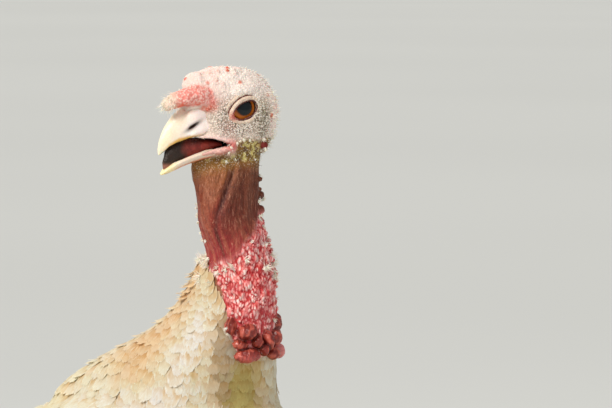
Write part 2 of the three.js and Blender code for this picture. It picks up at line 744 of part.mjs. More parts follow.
// A straight vane of the tail, which leaves the root at an angle to the side and at a height in the stack.
function tailVane({ outline, length, width, spread, aside, height, ahead = 0 }) {
  const root = bodyFrame(0, TAIL_ROOT.s + ahead, TAIL_ROOT.n).addScaledVector(TAIL_UP, height);
  const [turnCos, turnSin] = [Math.cos(spread * DEG), Math.sin(spread * DEG)];
  return vane(outline, length, width, (along, across, out) => {
    const back = along * turnCos - across * turnSin;
    return root
      .clone()
      .addScaledVector(LEFT, aside + along * turnSin + across * turnCos)
      .addScaledVector(TAIL_LINE, back)
      .addScaledVector(TAIL_UP, out);
  });
}

// How far down the stack a feather lies that stands `place` steps from the middle: the middle ones
// are uppermost.
const rankOf = (place) => Math.round(2 * Math.abs(place) + (place > 0 ? 0 : 0.9));
const TAIL_FEATHERS = 18;
const TAIL_STEP = 0.92; // from one feather down to the next
function tailFan() {
  return Array.from({ length: TAIL_FEATHERS }, (_, i) => {
    const place = i - (TAIL_FEATHERS - 1) / 2;
    return tailVane({
      outline: FLIGHT_OUTLINE,
      length: 286 - 30 * (place / 8.5) ** 2,
      width: 40,
      spread: 1.5 * place,
      aside: 1.5 * place,
      height: 8 - TAIL_STEP * rankOf(place),
    });
  });
}
const TAIL_TIERS = [
  { count: 7, length: 118, width: 38, spread: 3.8, aside: 5.4, height: 16.5, ahead: -6, step: 0.92 },
  { count: 5, length: 76, width: 38, spread: 4.6, aside: 7.5, height: 22, ahead: -14, step: 0.92 },
  { count: 5, length: 92, width: 38, spread: 4.2, aside: 6.4, height: -17, ahead: -8, step: -0.92 },
];
function tailCoverts() {
  return TAIL_TIERS.flatMap(({ count, spread, aside, height, step, ...rest }) =>
    Array.from({ length: count }, (_, i) => {
      const place = i - (count - 1) / 2;
      const [turned, offset] = [spread * place, aside * place];
      const level = height - step * rankOf(place);
      return tailVane({ outline: COVERT_OUTLINE, ...rest, spread: turned, aside: offset, height: level });
    }),
  );
}
const tailSolid = () => largest(join([rump(0), ...tailFan(), ...tailCoverts()]));

// ---------------------------------------------------------------- legs
// Paths of the left leg: x, y, z, radius. The right leg mirrors them.
const HIP_SPREAD = 58;
const THIGH = [
  [HIP_SPREAD - 4, -36, 262, 35],
  [HIP_SPREAD, -24, 234, 38],
  [HIP_SPREAD + 2, -2, 202, 32],
  [HIP_SPREAD + 1, 18, 170, 21],
  [HIP_SPREAD, 31, 146, 12.5],
  [HIP_SPREAD, 36, 134, 9.5],
];
const SHANK = [
  [HIP_SPREAD, 37.5, 138, 8.6],
  [HIP_SPREAD, 39, 126, 9.4],
  [HIP_SPREAD, 35, 108, 6.6],
  [HIP_SPREAD, 27, 72, 5.9],
  [HIP_SPREAD, 19, 36, 6.2],
  [HIP_SPREAD, 14, 14, 8.4],
];
const HOCK_CUT = 135;
const SHANK_CUT = 15;
// Toes from the foot's middle: heading (degrees out from straight ahead), length, radius, claw
// length, number of joints.
const FOOT_AT = vec(HIP_SPREAD, 13, 0);
const TOES = {
  inner: { heading: -36, length: 52, radius: 5.4, claw: 13, joints: 2 },
  middle: { heading: 2, length: 72, radius: 5.9, claw: 14, joints: 3 },
  outer: { heading: 40, length: 54, radius: 5.4, claw: 12, joints: 3 },
  hind: { heading: 186, length: 27, radius: 4.4, claw: 11, joints: 1 },
};
const TOE_START = 11; // from the foot's middle to the toe's first ring
const PAD_HALVES = vec(10.5, 11.5, 9.5); // half sizes of the foot's middle

const mirrored = (rows, side) => rows.map(([x, y, z, radius]) => [side * x, y, z, radius]);

// The foot's middle, and the level direction a toe points in, on either side.
const footMiddle = (side) => FOOT_AT.clone().multiply(vec(side, 1, 1));
const toeAhead = (side, toe) => vec(side * Math.sin(toe.heading * DEG), -Math.cos(toe.heading * DEG), 0);

function toeSolid(side, toe, out) {
  const ahead = toeAhead(side, toe);
  const across = vec(-ahead.y, ahead.x, 0);
  const steps = toe.joints * 2 + 1;
  const rings = Array.from({ length: steps + 1 }, (_, i) => {
    const share = i / steps;
    const swell = i % 2 ? 1.1 : 0.95;
    const radius = toe.radius * mix(1, 0.74, share) * swell + out;
    const centre = footMiddle(side)
      .addScaledVector(ahead, mix(TOE_START - out, toe.length + out, share))
      .setZ(toe.radius * mix(0.95, 0.62, share));
    return oval(centre, across, vec(0, 0, 1), radius, radius * 1.05, radius, 8);
  });
  return cut(loft(rings), [between(-50, -out)]);
}

function clawSolid(side, toe) {
  const ahead = toeAhead(side, toe);
  const across = vec(-ahead.y, ahead.x, 0);
  const rings = [0, 0.4, 0.75, 1].map((share) => {
    const radius = mix(toe.radius * 0.5, 0.45, share);
    const centre = footMiddle(side)
      .addScaledVector(ahead, toe.length + GAP + toe.claw * share)
      .setZ(0.4 + toe.radius * 0.72 * (1 - share ** 2) + 0.9 * share);
    return oval(centre, across, vec(0, 0, 1), radius, radius * 1.15, radius * 0.9, 6);
  });
  return cut(loft(rings), [between(-50, 0)]);
}

function legSolids(side, bodyCutters) {
  const name = side > 0 ? "left" : "right";
  const thigh = cut(limb(mirrored(THIGH, side), 12, 2, 0, LEFT), [
    ...bodyCutters,
    wingArm(side, GAP),
    between(0, HOCK_CUT),
  ]);
  const shank = cut(shankLimb(side, 0), [between(HOCK_CUT - GAP, 400), between(-50, SHANK_CUT)]);
  const pad = cut(footPad(side, 0), [between(SHANK_CUT - GAP, 60), between(-50, 0)]);
  const solids = [
    [`thigh_${name}`, largest(thigh), "cream"],
    [`shank_${name}`, largest(shank), "leg"],
    [`foot_${name}`, largest(pad), "leg"],
  ];
  for (const [toeName, toe] of Object.entries(TOES)) {
    const beside = toe === TOES.middle ? [] : [toeSolid(side, TOES.middle, GAP)];
    const whole = cut(toeSolid(side, toe, 0), [footPad(side, GAP), shankLimb(side, GAP), ...beside]);
    solids.push([`toe_${name}_${toeName}`, largest(whole), "leg"]);
    solids.push([`claw_${name}_${toeName}`, clawSolid(side, toe), "horn"]);
  }
  return solids;
}
const shankLimb = (side, out) => limb(mirrored(SHANK, side), 9, 2, out, LEFT);
const footPad = (side, out) =>
  blob(footMiddle(side).setZ(7), PAD_HALVES.clone().addScalar(out), new THREE.Euler(), 10, 6);

// ---------------------------------------------------------------- assembly
const nodes = [];
const add = (name, solid, colour) => nodes.push([name, solid, colour]);

const bodyCutters = [torsoLoft(GAP), collarLoft(GAP)];
const trunk = torsoLoft(0).add(collarLoft(0));
add("torso", largest(cut(trunk, [slabAbove(COLLAR_EDGE)])), "cream");

// The feathered foot of the neck, and the bare skin above it with the caruncles that hang down over it.
const foot = trunk.intersect(slabAbove(COLLAR_EDGE, -GAP));
add("neck_base", largest(cut(foot, [slabAbove(SKIN_EDGE)])), "cream");
const bareNeck = neckLoft(0).add(collarLoft(0)).intersect(slabAbove(SKIN_EDGE, -GAP));
const bulbs = cut(join(majorCaruncles()), [collarLoft(GAP).subtract(slabAbove(SKIN_EDGE, -GAP))]);
const lowerNeck = bareNeck.subtract(between(NECK_MIDDLE_CUT, WIDE));
const lowerBumps = minorCaruncles(470, NECK_MIDDLE_CUT);
add("neck_lower", largest(join([lowerNeck, bulbs, ...lowerBumps])), "caruncle");
const upperNeck = cut(bareNeck, [between(0, NECK_MIDDLE_CUT + GAP), between(NECK_HEAD_CUT - GAP, WIDE)]);
const upperBumps = [
  ...minorCaruncles(NECK_MIDDLE_CUT + GAP, NECK_HEAD_CUT - GAP),
  ...neckBeads(NECK_MIDDLE_CUT + GAP, NECK_HEAD_CUT - GAP),
];
add("neck_upper", largest(join([upperNeck, ...upperBumps])), "neck");

add("head", headSolid(), "head");
add("beak_upper", upperBeakSolid(), "horn");
add("beak_lower", lowerBeakSolid(), "horn");
add("tongue", largest(inHead(tongue(0))), "mouth");
add("snood", largest(inHead(snood(0))), "snood");
for (const [name, side] of [["left", 1], ["right", -1]]) {
  add(`eye_${name}`, inHead(eyeball(side, 0)), "eye");
  add(`wing_${name}`, wingSolid(side, [...bodyCutters, rump(GAP)]), "cream");
}
add("tail", tailSolid(), "cream");
for (const side of [1, -1]) {
  for (const [name, solid, colour] of legSolids(side, bodyCutters)) add(name, solid, colour);
}

// The origin is on the floor, under the middle of the whole bird.
const bird = new THREE.Group();
const extent = new THREE.Box3();
for (const [name, solid, colour] of nodes) {
  const { vertProperties, triVerts } = solid.getMesh();
  const geometry = new THREE.BufferGeometry();
  geometry.setAttribute("position", new THREE.BufferAttribute(new Float32Array(vertProperties), 3));
  geometry.setIndex(new THREE.BufferAttribute(new Uint32Array(triVerts), 1));
  geometry.computeVertexNormals();
  geometry.computeBoundingBox();
  extent.union(geometry.boundingBox);
  const mesh = new THREE.Mesh(geometry, new THREE.MeshStandardMaterial(COLOURS[colour]));
  mesh.name = name;
  bird.add(mesh);
}
bird.position.set(-(extent.min.x + extent.max.x) / 2, -(extent.min.y + extent.max.y) / 2, -extent.min.z);

export default bird;
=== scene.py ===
import math

import bpy
import numpy as np
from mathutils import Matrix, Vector
from mathutils.bvhtree import BVHTree


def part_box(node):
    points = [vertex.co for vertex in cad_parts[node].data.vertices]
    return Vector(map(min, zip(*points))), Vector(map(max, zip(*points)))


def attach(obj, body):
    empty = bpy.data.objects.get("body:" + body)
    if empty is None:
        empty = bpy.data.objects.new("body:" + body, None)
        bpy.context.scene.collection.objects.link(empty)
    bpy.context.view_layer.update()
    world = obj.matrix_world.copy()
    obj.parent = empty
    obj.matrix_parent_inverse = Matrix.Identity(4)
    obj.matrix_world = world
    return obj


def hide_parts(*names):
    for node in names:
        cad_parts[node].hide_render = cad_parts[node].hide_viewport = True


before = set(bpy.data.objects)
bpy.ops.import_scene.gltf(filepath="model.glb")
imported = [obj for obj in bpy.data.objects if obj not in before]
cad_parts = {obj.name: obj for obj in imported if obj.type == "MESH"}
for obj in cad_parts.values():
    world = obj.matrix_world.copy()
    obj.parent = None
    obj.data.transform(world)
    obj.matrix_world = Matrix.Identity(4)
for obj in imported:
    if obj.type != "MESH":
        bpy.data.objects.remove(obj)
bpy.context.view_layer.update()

# A young domestic turkey at rest, life size. Shapes are worked out in millimetres in the bird's
# own frame (it faces -Y, its left side is +X) and are turned into metres in the shared frame when
# a mesh is made. The head has a frame of its own: f forward to the beak, l to its left, u up.

DEG = math.pi / 180
UP = np.array([0.0, 0.0, 1.0])
LEFT = np.array([1.0, 0.0, 0.0])
BACKWARD = np.array([0.0, 1.0, 0.0])

# ---------------------------------------------------------------- frames
HEAD_YAW = 160 * DEG
HEAD_FORWARD = np.array([math.cos(HEAD_YAW), math.sin(HEAD_YAW), 0.0])
HEAD_LEFT = np.array([-math.sin(HEAD_YAW), math.cos(HEAD_YAW), 0.0])
HEAD_AXES = np.stack([HEAD_FORWARD, HEAD_LEFT, UP])
HEAD_MIDDLE = np.array([0.0, -95.0, 612.0]) + 5 * HEAD_FORWARD

BODY_TILT = 30 * DEG
TAILWARD = np.array([0.0, math.cos(BODY_TILT), -math.sin(BODY_TILT)])
BACK_UP = np.array([0.0, math.sin(BODY_TILT), math.cos(BODY_TILT)])
BODY_ORIGIN = np.array([0.0, 0.0, 300.0])


def in_head(flu):
    """Points of the bird's frame from f, l, u in the head's."""
    return HEAD_MIDDLE + np.asarray(flu, float) @ HEAD_AXES


def from_head(points):
    """f, l, u of points of the bird's frame."""
    return (points - HEAD_MIDDLE) @ HEAD_AXES.T


def eyes_middle():
    """The middle between the two eyes of the frame, which ties the two frames together."""
    corners = [np.array(corner) for eye in ("eye_left", "eye_right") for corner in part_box(eye)]
    return 1000 * np.mean(corners, axis=0)


SHIFT = eyes_middle() - HEAD_MIDDLE


def metres(points):
    """Points of the bird's frame in the shared frame."""
    return (np.asarray(points) + SHIFT) / 1000


# ---------------------------------------------------------------- small numeric tools
def mix(a, b, t):
    return a + (b - a) * t


def circle(count):
    """Turns evenly spaced round a circle."""
    return np.linspace(0, 2 * math.pi, count, endpoint=False)


def ease(low, high, value):
    """0 below low, 1 above high, smooth between. Low may be the larger."""
    t = np.clip((np.asarray(value, float) - low) / (high - low), 0, 1)
    return t * t * (3 - 2 * t)


def hump(value, middle, width):
    return np.exp(-(((np.asarray(value, float) - middle) / width) ** 2))


def unit(vectors):
    return vectors / np.maximum(np.linalg.norm(vectors, axis=-1, keepdims=True), 1e-9)


def station_at(table, keys):
    """The rows of a station table at the given keys, read along smooth curves."""
    rows = np.asarray(table, float)
    keys = np.clip(np.asarray(keys, float), rows[0, 0], rows[-1, 0])
    before = np.vstack([rows[:1], rows[:-1]])
    after = np.vstack([rows[1:], rows[-1:]])
    slopes = (after[:, 1:] - before[:, 1:]) / (after[:, :1] - before[:, :1])
    i = np.clip(np.searchsorted(rows[:, 0], keys, side="right") - 1, 0, len(rows) - 2)
    span = rows[i + 1, 0] - rows[i, 0]
    u = ((keys - rows[i, 0]) / span)[..., None]
    span = span[..., None]
    a, b = rows[i, 1:], rows[i + 1, 1:]
    leave = u * (1 - u) ** 2 * span
    arrive = u * u * (u - 1) * span
    return a + (b - a) * u * u * (3 - 2 * u) + slopes[i] * leave + slopes[i + 1] * arrive


def scatter(cells, seed):
    """A random number from 0 to 1 for each integer cell (..., 3)."""
    x, y, z = (cells[..., k].astype(np.int64) for k in range(3))
    h = (x * 374761393 + y * 668265263 + z * 1440662683 + seed * 974634777) & 0xFFFFFFFF
    h = ((h ^ (h >> 13)) * 1274126177) & 0xFFFFFFFF
    h = ((h ^ (h >> 16)) * 668265263) & 0xFFFFFFFF
    return ((h ^ (h >> 15)) & 0xFFFFF) / 0xFFFFF


def noise(points, size, seed=0):
    """Smooth noise from -1 to 1 with features of about the given size."""
    p = np.asarray(points) / size
    base = np.floor(p).astype(np.int64)
    t = p - base
    t = t * t * (3 - 2 * t)
    total = 0
    for corner in np.ndindex(2, 2, 2):
        c = np.array(corner)
        weight = np.prod(np.where(c == 1, t, 1 - t), axis=-1)
        total = total + weight * scatter(base + c, seed)
    return 2 * total - 1


def layers(points, size, seed=0, octaves=3):
    return sum(noise(points, size / 2**k, seed + k) / 2**k for k in range(octaves))


def pebbles(points, size, seed=0):
    """The distances to the nearest two of randomly set seeds, as shares of their spacing, and a
    random number for the nearest."""
    p = np.asarray(points) / size
    base = np.floor(p).astype(np.int64)
    first = np.full(p.shape[:-1], 9.0)
    second = first.copy()
    draw = first.copy()
    for step in np.ndindex(3, 3, 3):
        cell = base + np.array(step) - 1
        middle = cell + np.stack([scatter(cell, seed + k) for k in range(3)], -1)
        away = np.linalg.norm(p - middle, axis=-1)
        nearer = away < first
        second = np.where(nearer, first, np.minimum(second, away))
        draw = np.where(nearer, scatter(cell, seed + 9), draw)
        first = np.where(nearer, away, first)
    return first, second, draw


# ---------------------------------------------------------------- closed forms, as (points, faces)
def strips(grid, closed=True):
    """Quads between the rows of a grid of point numbers, closed round or not."""
    over = np.roll(grid, -1, axis=1) if closed else grid[:, 1:]
    here = grid if closed else grid[:, :-1]
    return np.stack([here[:-1], over[:-1], over[1:], here[1:]], -1).reshape(-1, 4)


def loft(rings):
    """A closed form through rings of points, (rings, around, 3)."""
    count, around = rings.shape[:2]
    grid = np.arange(count * around).reshape(count, around)
    turned = np.roll(grid, -1, axis=1)
    first = np.stack([turned[0], grid[0], np.full(around, count * around)], -1)
    last = np.stack([grid[-1], turned[-1], np.full(around, count * around + 1)], -1)
    points = np.vstack([rings.reshape(-1, 3), rings[0].mean(0), rings[-1].mean(0)])
    return points, [strips(grid), first, last]


def ovals(centres, side, top, half, rise, fall, around=40):
    """Oval rings: half wide along side, reaching rise along top and fall the other way."""
    turn = circle(around)
    across = np.sin(turn)[None, :, None] * np.asarray(half)[:, None, None]
    up = np.cos(turn)
    reach = np.where(up > 0, np.asarray(rise)[:, None], np.asarray(fall)[:, None]) * up
    side, top = (np.broadcast_to(axis, centres.shape)[:, None] for axis in (side, top))
    return centres[:, None] + across * side + reach[..., None] * top


def ball(centre, halves, axes=None, around=28, rows=18):
    """An ellipsoid about a centre; axes are its three unit directions."""
    lat, lon = np.linspace(0.02, math.pi - 0.02, rows)[:, None], circle(around)[None]
    shape = np.stack([np.sin(lat) * np.cos(lon), np.sin(lat) * np.sin(lon), np.cos(lat) + 0 * lon], -1)
    shape = shape * np.asarray(halves, float)
    return loft(np.asarray(centre, float) + shape @ (np.eye(3) if axes is None else np.asarray(axes)))


def tilted(angle):
    """Axes turned nose down by an angle about the head's side."""
    c, s = math.cos(angle), math.sin(angle)
    return np.array([[c, 0, -s], [0, 1, 0], [s, 0, c]])


def head_ball(flu, halves, tilt=0.0):
    """An ellipsoid about a place in the head's frame."""
    return ball(in_head(flu), halves, tilted(tilt) @ HEAD_AXES)


def path_points(rows, count):
    """Points, tangents and the other columns along a path of [x, y, z, ...] rows."""
    table = np.column_stack([np.arange(len(rows)), np.asarray(rows, float)])
    keys = np.linspace(0, len(rows) - 1, count)
    values = station_at(table, keys)
    tangents = unit(np.gradient(values[:, :3], axis=0))
    return values, tangents


def limb(rows, count, across, around=32):
    """A round limb along [x, y, z, radius] stations."""
    values, tangents = path_points(rows, count)
    side = unit(across - tangents * (tangents @ across)[:, None])
    top = np.cross(side, tangents)
    radius = np.maximum(values[:, 3], 0.3)
    return loft(ovals(values[:, :3], side, top, radius, radius, radius, around))


def joined(forms):
    """Several forms as one list of points and faces."""
    points, faces, start = [], [], 0
    for p, fs in forms:
        points.append(p)
        faces += [f + start for f in fs]
        start += len(p)
    return np.vstack(points), faces


def run_starts(sizes):
    """Where each run starts in a list of runs of the given sizes."""
    return np.concatenate([[0], np.cumsum(sizes)[:-1]]).astype(np.int32)


def pulled(items, key, kind, width=1):
    """One field of a mesh's items, as an array."""
    values = np.empty(len(items) * width, kind)
    items.foreach_get(key, values)
    return values


def make_mesh(name, points, faces, smooth=True):
    """A mesh from points and arrays of faces, each array with its own number of corners."""
    corners = np.concatenate([f.ravel() for f in faces]).astype(np.int32)
    starts = run_starts(np.concatenate([np.full(len(f), f.shape[1]) for f in faces]))
    mesh = bpy.data.meshes.new(name)
    for items, count, key, values in (
            (mesh.vertices, len(points), "co", np.asarray(points, np.float32).ravel()),
            (mesh.loops, len(corners), "vertex_index", corners),
            (mesh.polygons, len(starts), "loop_start", starts)):
        items.add(count)
        items.foreach_set(key, values)
    mesh.update(calc_edges=True)
    mesh.validate()
    mesh.polygons.foreach_set("use_smooth", np.full(len(mesh.polygons), smooth))
    return mesh


def add_object(name, data):
    thing = bpy.data.objects.new(name, data)
    bpy.context.scene.collection.objects.link(thing)
    return thing


def add_piece(name, points, faces, material, slot, nodes=(), normals=None, flat=None, **fields):
    """A piece of the bird on the root, with fields of numbers at its vertices, its normals, its flat
    map, its material, and the solids that it replaces. The slot is not used."""
    mesh = make_mesh(name, metres(points), faces)
    if normals is not None:
        mesh.normals_split_custom_set_from_vertices(normals)
    for field, values in fields.items():
        kind, key = {"Tone": ("FLOAT_COLOR", "color"), "Vane": ("FLOAT_VECTOR", "vector"),
                     "Gaze": ("FLOAT_VECTOR", "vector")}.get(field, ("FLOAT", "value"))
        if field == "Tone":
            values = np.column_stack([np.clip(values, 0.001, 1), np.ones(len(values))])
        layer = mesh.attributes.new(field, kind, "POINT")
        layer.data.foreach_set(key, np.asarray(values, np.float32).ravel())
    if flat is not None:
        corners = pulled(mesh.loops, "vertex_index", np.int32)
        mesh.uv_layers.new(name="OFBake").data.foreach_set("uv", flat[corners].astype(np.float32).ravel())
    mesh.materials.append(material)
    piece = add_object(name, mesh)
    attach(piece, "root")
    if len(nodes):
        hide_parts(*nodes)
    print(f"{name}: {sum(len(f) * (f.shape[1] - 2) for f in faces)} triangles")
    return piece


def read_mesh(mesh):
    """A mesh's points, and its faces in one array for each number of corners."""
    points = pulled(mesh.vertices, "co", np.float32, 3)
    corners = pulled(mesh.loops, "vertex_index", np.int32)
    sizes = pulled(mesh.polygons, "loop_total", np.int32)
    starts = run_starts(sizes)
    faces = [corners[starts[sizes == size][:, None] + np.arange(size)] for size in np.unique(sizes)]
    return points.reshape(-1, 3).astype(float), faces


def add_modifier(thing, kind, **settings):
    modifier = thing.modifiers.new(kind.lower(), kind)
    for key, value in settings.items():
        setattr(modifier, key, value)


def fused(forms, voxel, cutters=(), smooth=2):
    """Closed forms fused into one skin of even quads, with the cutters taken out of it."""
    body = add_object("fusing", make_mesh("fusing", *joined(forms)))
    add_modifier(body, "REMESH", mode="VOXEL", voxel_size=voxel)
    made = [body]
    if cutters:
        made.append(add_object("cutting", make_mesh("cutting", *joined(cutters))))
        add_modifier(made[1], "REMESH", mode="VOXEL", voxel_size=voxel * 0.8)
        add_modifier(body, "BOOLEAN", operation="DIFFERENCE", solver="EXACT", object=made[1])
        add_modifier(body, "REMESH", mode="VOXEL", voxel_size=voxel)
    add_modifier(body, "SMOOTH", factor=0.5, iterations=smooth)
    mesh = bpy.data.meshes.new_from_object(body.evaluated_get(bpy.context.evaluated_depsgraph_get()))
    result = read_mesh(mesh)
    for old in [thing.data for thing in made] + [mesh]:
        bpy.data.meshes.remove(old)
    return result


def vertex_normals(points, faces):
    total = np.zeros_like(points)
    for f in faces:
        a, b, c, d = (points[f[:, k]] for k in (0, 1, 2, -1))
        across = np.cross(b - a, c - a) if f.shape[1] == 3 else np.cross(c - a, d - b)
        for k in range(f.shape[1]):
            np.add.at(total, f[:, k], across)
    return unit(total)


def raised(points, faces, size, seed, height):
    """Points moved out along their normals by a height of noise."""
    return points + vertex_normals(points, faces) * (height * layers(points, size, seed))[:, None]


# ---------------------------------------------------------------- colours
def tone(red, green, blue):
    """A linear colour from screen values of 0 to 255."""
    c = np.array([red, green, blue]) / 255
    return np.where(c <= 0.04045, c / 12.92, ((c + 0.055) / 1.055) ** 2.4)


def blend(base, colour, amount):
    return base + (colour - base) * np.clip(amount, 0, 1)[..., None]


def tinted(base, *coats):
    """A base tone with coats laid over it in order: a screen colour, and how much of it by point."""
    colour = tone(*base) if isinstance(base, tuple) else base
    for screen, amount in coats:
        colour = blend(colour, tone(*screen), amount)
    return colour


# ---------------------------------------------------------------- materials
class Paint:
    """A node material under construction."""

    def __init__(self, name):
        self.material = bpy.data.materials.new(name)
        self.material.use_nodes = True
        self.nodes, self.links = self.material.node_tree.nodes, self.material.node_tree.links
        self.shader = self.nodes["Principled BSDF"]
        self.place = self.node("TexCoord", "Object")

    def set(self, node, socket, value):
        if isinstance(value, bpy.types.NodeSocket):
            self.links.new(value, node.inputs[socket])
        else:
            node.inputs[socket].default_value = (*value, 1.0) if isinstance(value, np.ndarray) else value

    def node(self, kind, output, inputs=(), **settings):
        """An output of a new node with the given settings and inputs; all its outputs for None."""
        node = self.nodes.new("ShaderNode" + kind)
        for name, value in settings.items():
            setattr(node, name, value)
        for socket, value in dict(inputs).items():
            self.set(node, socket, value)
        return node.outputs if output is None else node.outputs[output]

    def surface(self, **values):
        for name, value in values.items():
            self.set(self.shader, name.replace("_", " "), value)

    def attribute(self, name, output="Fac"):
        return self.node("Attribute", output, attribute_name=name)

    def parts(self, name):
        """The three numbers of a vector attribute."""
        return self.node("SeparateXYZ", None, {0: self.attribute(name, "Vector")})

    def combined(self, x, y, z):
        return self.node("CombineXYZ", 0, {0: x, 1: y, 2: z})

    def noise(self, size, detail=3.0, rough=0.55, vector=None):
        """Noise with features of about the given size in metres."""
        return self.node("TexNoise", "Fac", {"Scale": 1 / size, "Detail": detail, "Roughness": rough,
                                             "Vector": vector or self.place})

    def maths(self, operation, a, b=0.0):
        return self.node("Math", 0, {0: a, 1: b}, operation=operation)

    def times(self, a, b):
        return self.maths("MULTIPLY", a, b)

    def span(self, value, low, high, to_low=0.0, to_high=1.0):
        """The value's place between low and high, eased."""
        inputs = {"Value": value, "From Min": low, "From Max": high, "To Min": to_low, "To Max": to_high}
        return self.node("MapRange", 0, inputs, interpolation_type="SMOOTHSTEP")

    def mixed(self, factor, a, b, kind="MIX"):
        return self.node("Mix", 2, {0: factor, 6: a, 7: tone(*b) if isinstance(b, tuple) else b},
                         data_type="RGBA", blend_type=kind)

    def shaded(self, factor, a, b):
        return self.mixed(factor, a, b, "MULTIPLY")

    def bump(self, height, distance, strength, normal=None):
        inputs = {"Distance": distance, "Strength": strength, "Height": height}
        if normal is not None:
            inputs["Normal"] = normal
        return self.node("Bump", "Normal", inputs)


def skin_paint():
    """Bare skin: the tone laid on the mesh, its markings with painted highlights and shade, mottled,
    speckled, threaded and a little moist.
    """
    paint = Paint("bare_skin")
    wet, speck, strand = (paint.attribute(name) for name in ("Wet", "Speck", "Strand"))
    mottle, fine = paint.noise(0.004, 4), paint.noise(0.0009, 3)
    pores = paint.node("TexVoronoi", "Distance", {"Scale": 1 / 0.0012, "Vector": paint.place}, feature="F1")
    warm = paint.mixed(paint.span(mottle, 0.35, 0.7), tone(196, 180, 170), (255, 250, 246))
    colour = paint.shaded(0.35, paint.attribute("Tone", "Color"), warm)
    tips = paint.times(paint.span(pores, 0.2, 0.46, 1.0, 0.0), speck)
    colour = paint.mixed(paint.times(tips, 0.9), colour, (254, 248, 240))
    gaps = paint.times(paint.span(pores, 0.5, 0.68), speck)
    gaps = paint.times(gaps, paint.span(mottle, 0.3, 0.6, 0.5, 1.0))
    colour = paint.mixed(gaps, colour, (84, 68, 46))
    drawn_out = paint.node("VectorMath", 0, {0: paint.place, 1: (1, 1, 0.14)}, operation="MULTIPLY")
    threads = paint.noise(0.0011, 4, 0.7, drawn_out)
    light = paint.times(paint.span(threads, 0.52, 0.72, 0.0, 0.36), strand)
    colour = paint.mixed(light, colour, (226, 166, 136))
    deep = paint.times(paint.span(threads, 0.3, 0.48, 0.55, 0.0), strand)
    colour = paint.shaded(deep, colour, (124, 82, 66))
    colour = paint.shaded(paint.span(fine, 0.3, 0.75, 0.0, 0.3), colour, (255, 232, 218))
    height = paint.times(paint.span(pores, 0.1, 0.7, 1.0, 0.0), paint.maths("ADD", speck, 0.3))
    grain = paint.bump(threads, 0.0006, strand, paint.bump(fine, 0.0003, 0.45))
    paint.surface(Base_Color=colour, Normal=paint.bump(height, 0.0007, 0.8, grain),
                  Roughness=paint.span(wet, 0.0, 1.0, 0.56, 0.16), Subsurface_Weight=0.12,
                  Subsurface_Scale=0.002, Subsurface_Radius=(1.0, 0.36, 0.22), Specular_IOR_Level=0.42)
    return paint.material


def plumage_paint(name, fringe, fringe_at, shaft=0.0):
    """Feathers: the coat's ground tone, a warm band inside the pale edge, barbs slanting off the shaft, and
    painted shade under the tips that lie over each vane.
    """
    paint = Paint(name)
    across, along, edge = paint.parts("Vane")
    draw, length = paint.attribute("Draw"), paint.attribute("Barb")
    depth = paint.maths("ADD", edge, paint.span(paint.noise(0.004, 2), 0.2, 0.8, -0.7, 0.7))
    rim, band, inside = fringe_at
    band = paint.times(paint.span(depth, band, inside, 1.0, 0.0), paint.span(depth, rim, band))
    colour = paint.shaded(paint.times(band, paint.span(draw, 0.0, 1.0, 0.0, 0.45)),
                          paint.attribute("Tone", "Color"), fringe)
    clump = paint.combined(length, paint.times(along, 2.0), paint.times(draw, 53.0))
    coarse = paint.noise(1.5, 4, 0.8, clump)
    hair = paint.maths("SINE", paint.times(length, 9.0))
    barbs = paint.maths("ADD", paint.times(hair, 0.25), paint.span(coarse, 0.3, 0.7, -0.75, 0.75))
    colour = paint.shaded(paint.span(barbs, -1.0, 1.0, 0.4, 0.0), colour, (226, 200, 156))
    rachis = paint.span(paint.maths("ABSOLUTE", across), 0.03, 0.09, shaft, 0.0)
    colour = paint.mixed(rachis, colour, (250, 243, 226))
    # Painted shade: an ochre multiply on the part of each vane that lies under the tip of the feather
    # above.
    foot = paint.times(paint.span(along, 0.62, 0.88, 0.6, 0.0), paint.span(draw, 0.0, 1.0, 0.4, 1.0))
    colour = paint.shaded(foot, colour, (234, 202, 146))
    paint.surface(Base_Color=colour, Roughness=0.78, Specular_IOR_Level=0.25, Sheen_Weight=0.15,
                  Sheen_Roughness=0.5, Normal=paint.bump(barbs, 0.0002, 0.3))
    glow = paint.node("BsdfTranslucent", 0, {"Color": colour})
    share = paint.node("MixShader", 0, {0: 0.4, 1: paint.shader.outputs[0], 2: glow})
    paint.set(paint.nodes["Material Output"], "Surface", share)
    return paint.material


def horn_paint():
    """Beak horn and claws: the tone laid on the mesh, with faint growth lines and a soft shine."""
    paint = Paint("horn")
    fine = paint.noise(0.0007, 3)
    colour = paint.shaded(paint.span(paint.noise(0.005, 3), 0.3, 0.7, 0.0, 0.3),
                          paint.attribute("Tone", "Color"), (246, 228, 208))
    colour = paint.shaded(paint.span(fine, 0.4, 0.7, 0.0, 0.2), colour, (216, 198, 174))
    paint.surface(Base_Color=colour, Roughness=paint.span(fine, 0.2, 0.8, 0.32, 0.48),
                  Subsurface_Weight=0.12, Subsurface_Scale=0.002, Normal=paint.bump(fine, 0.0002, 0.4))
    return paint.material


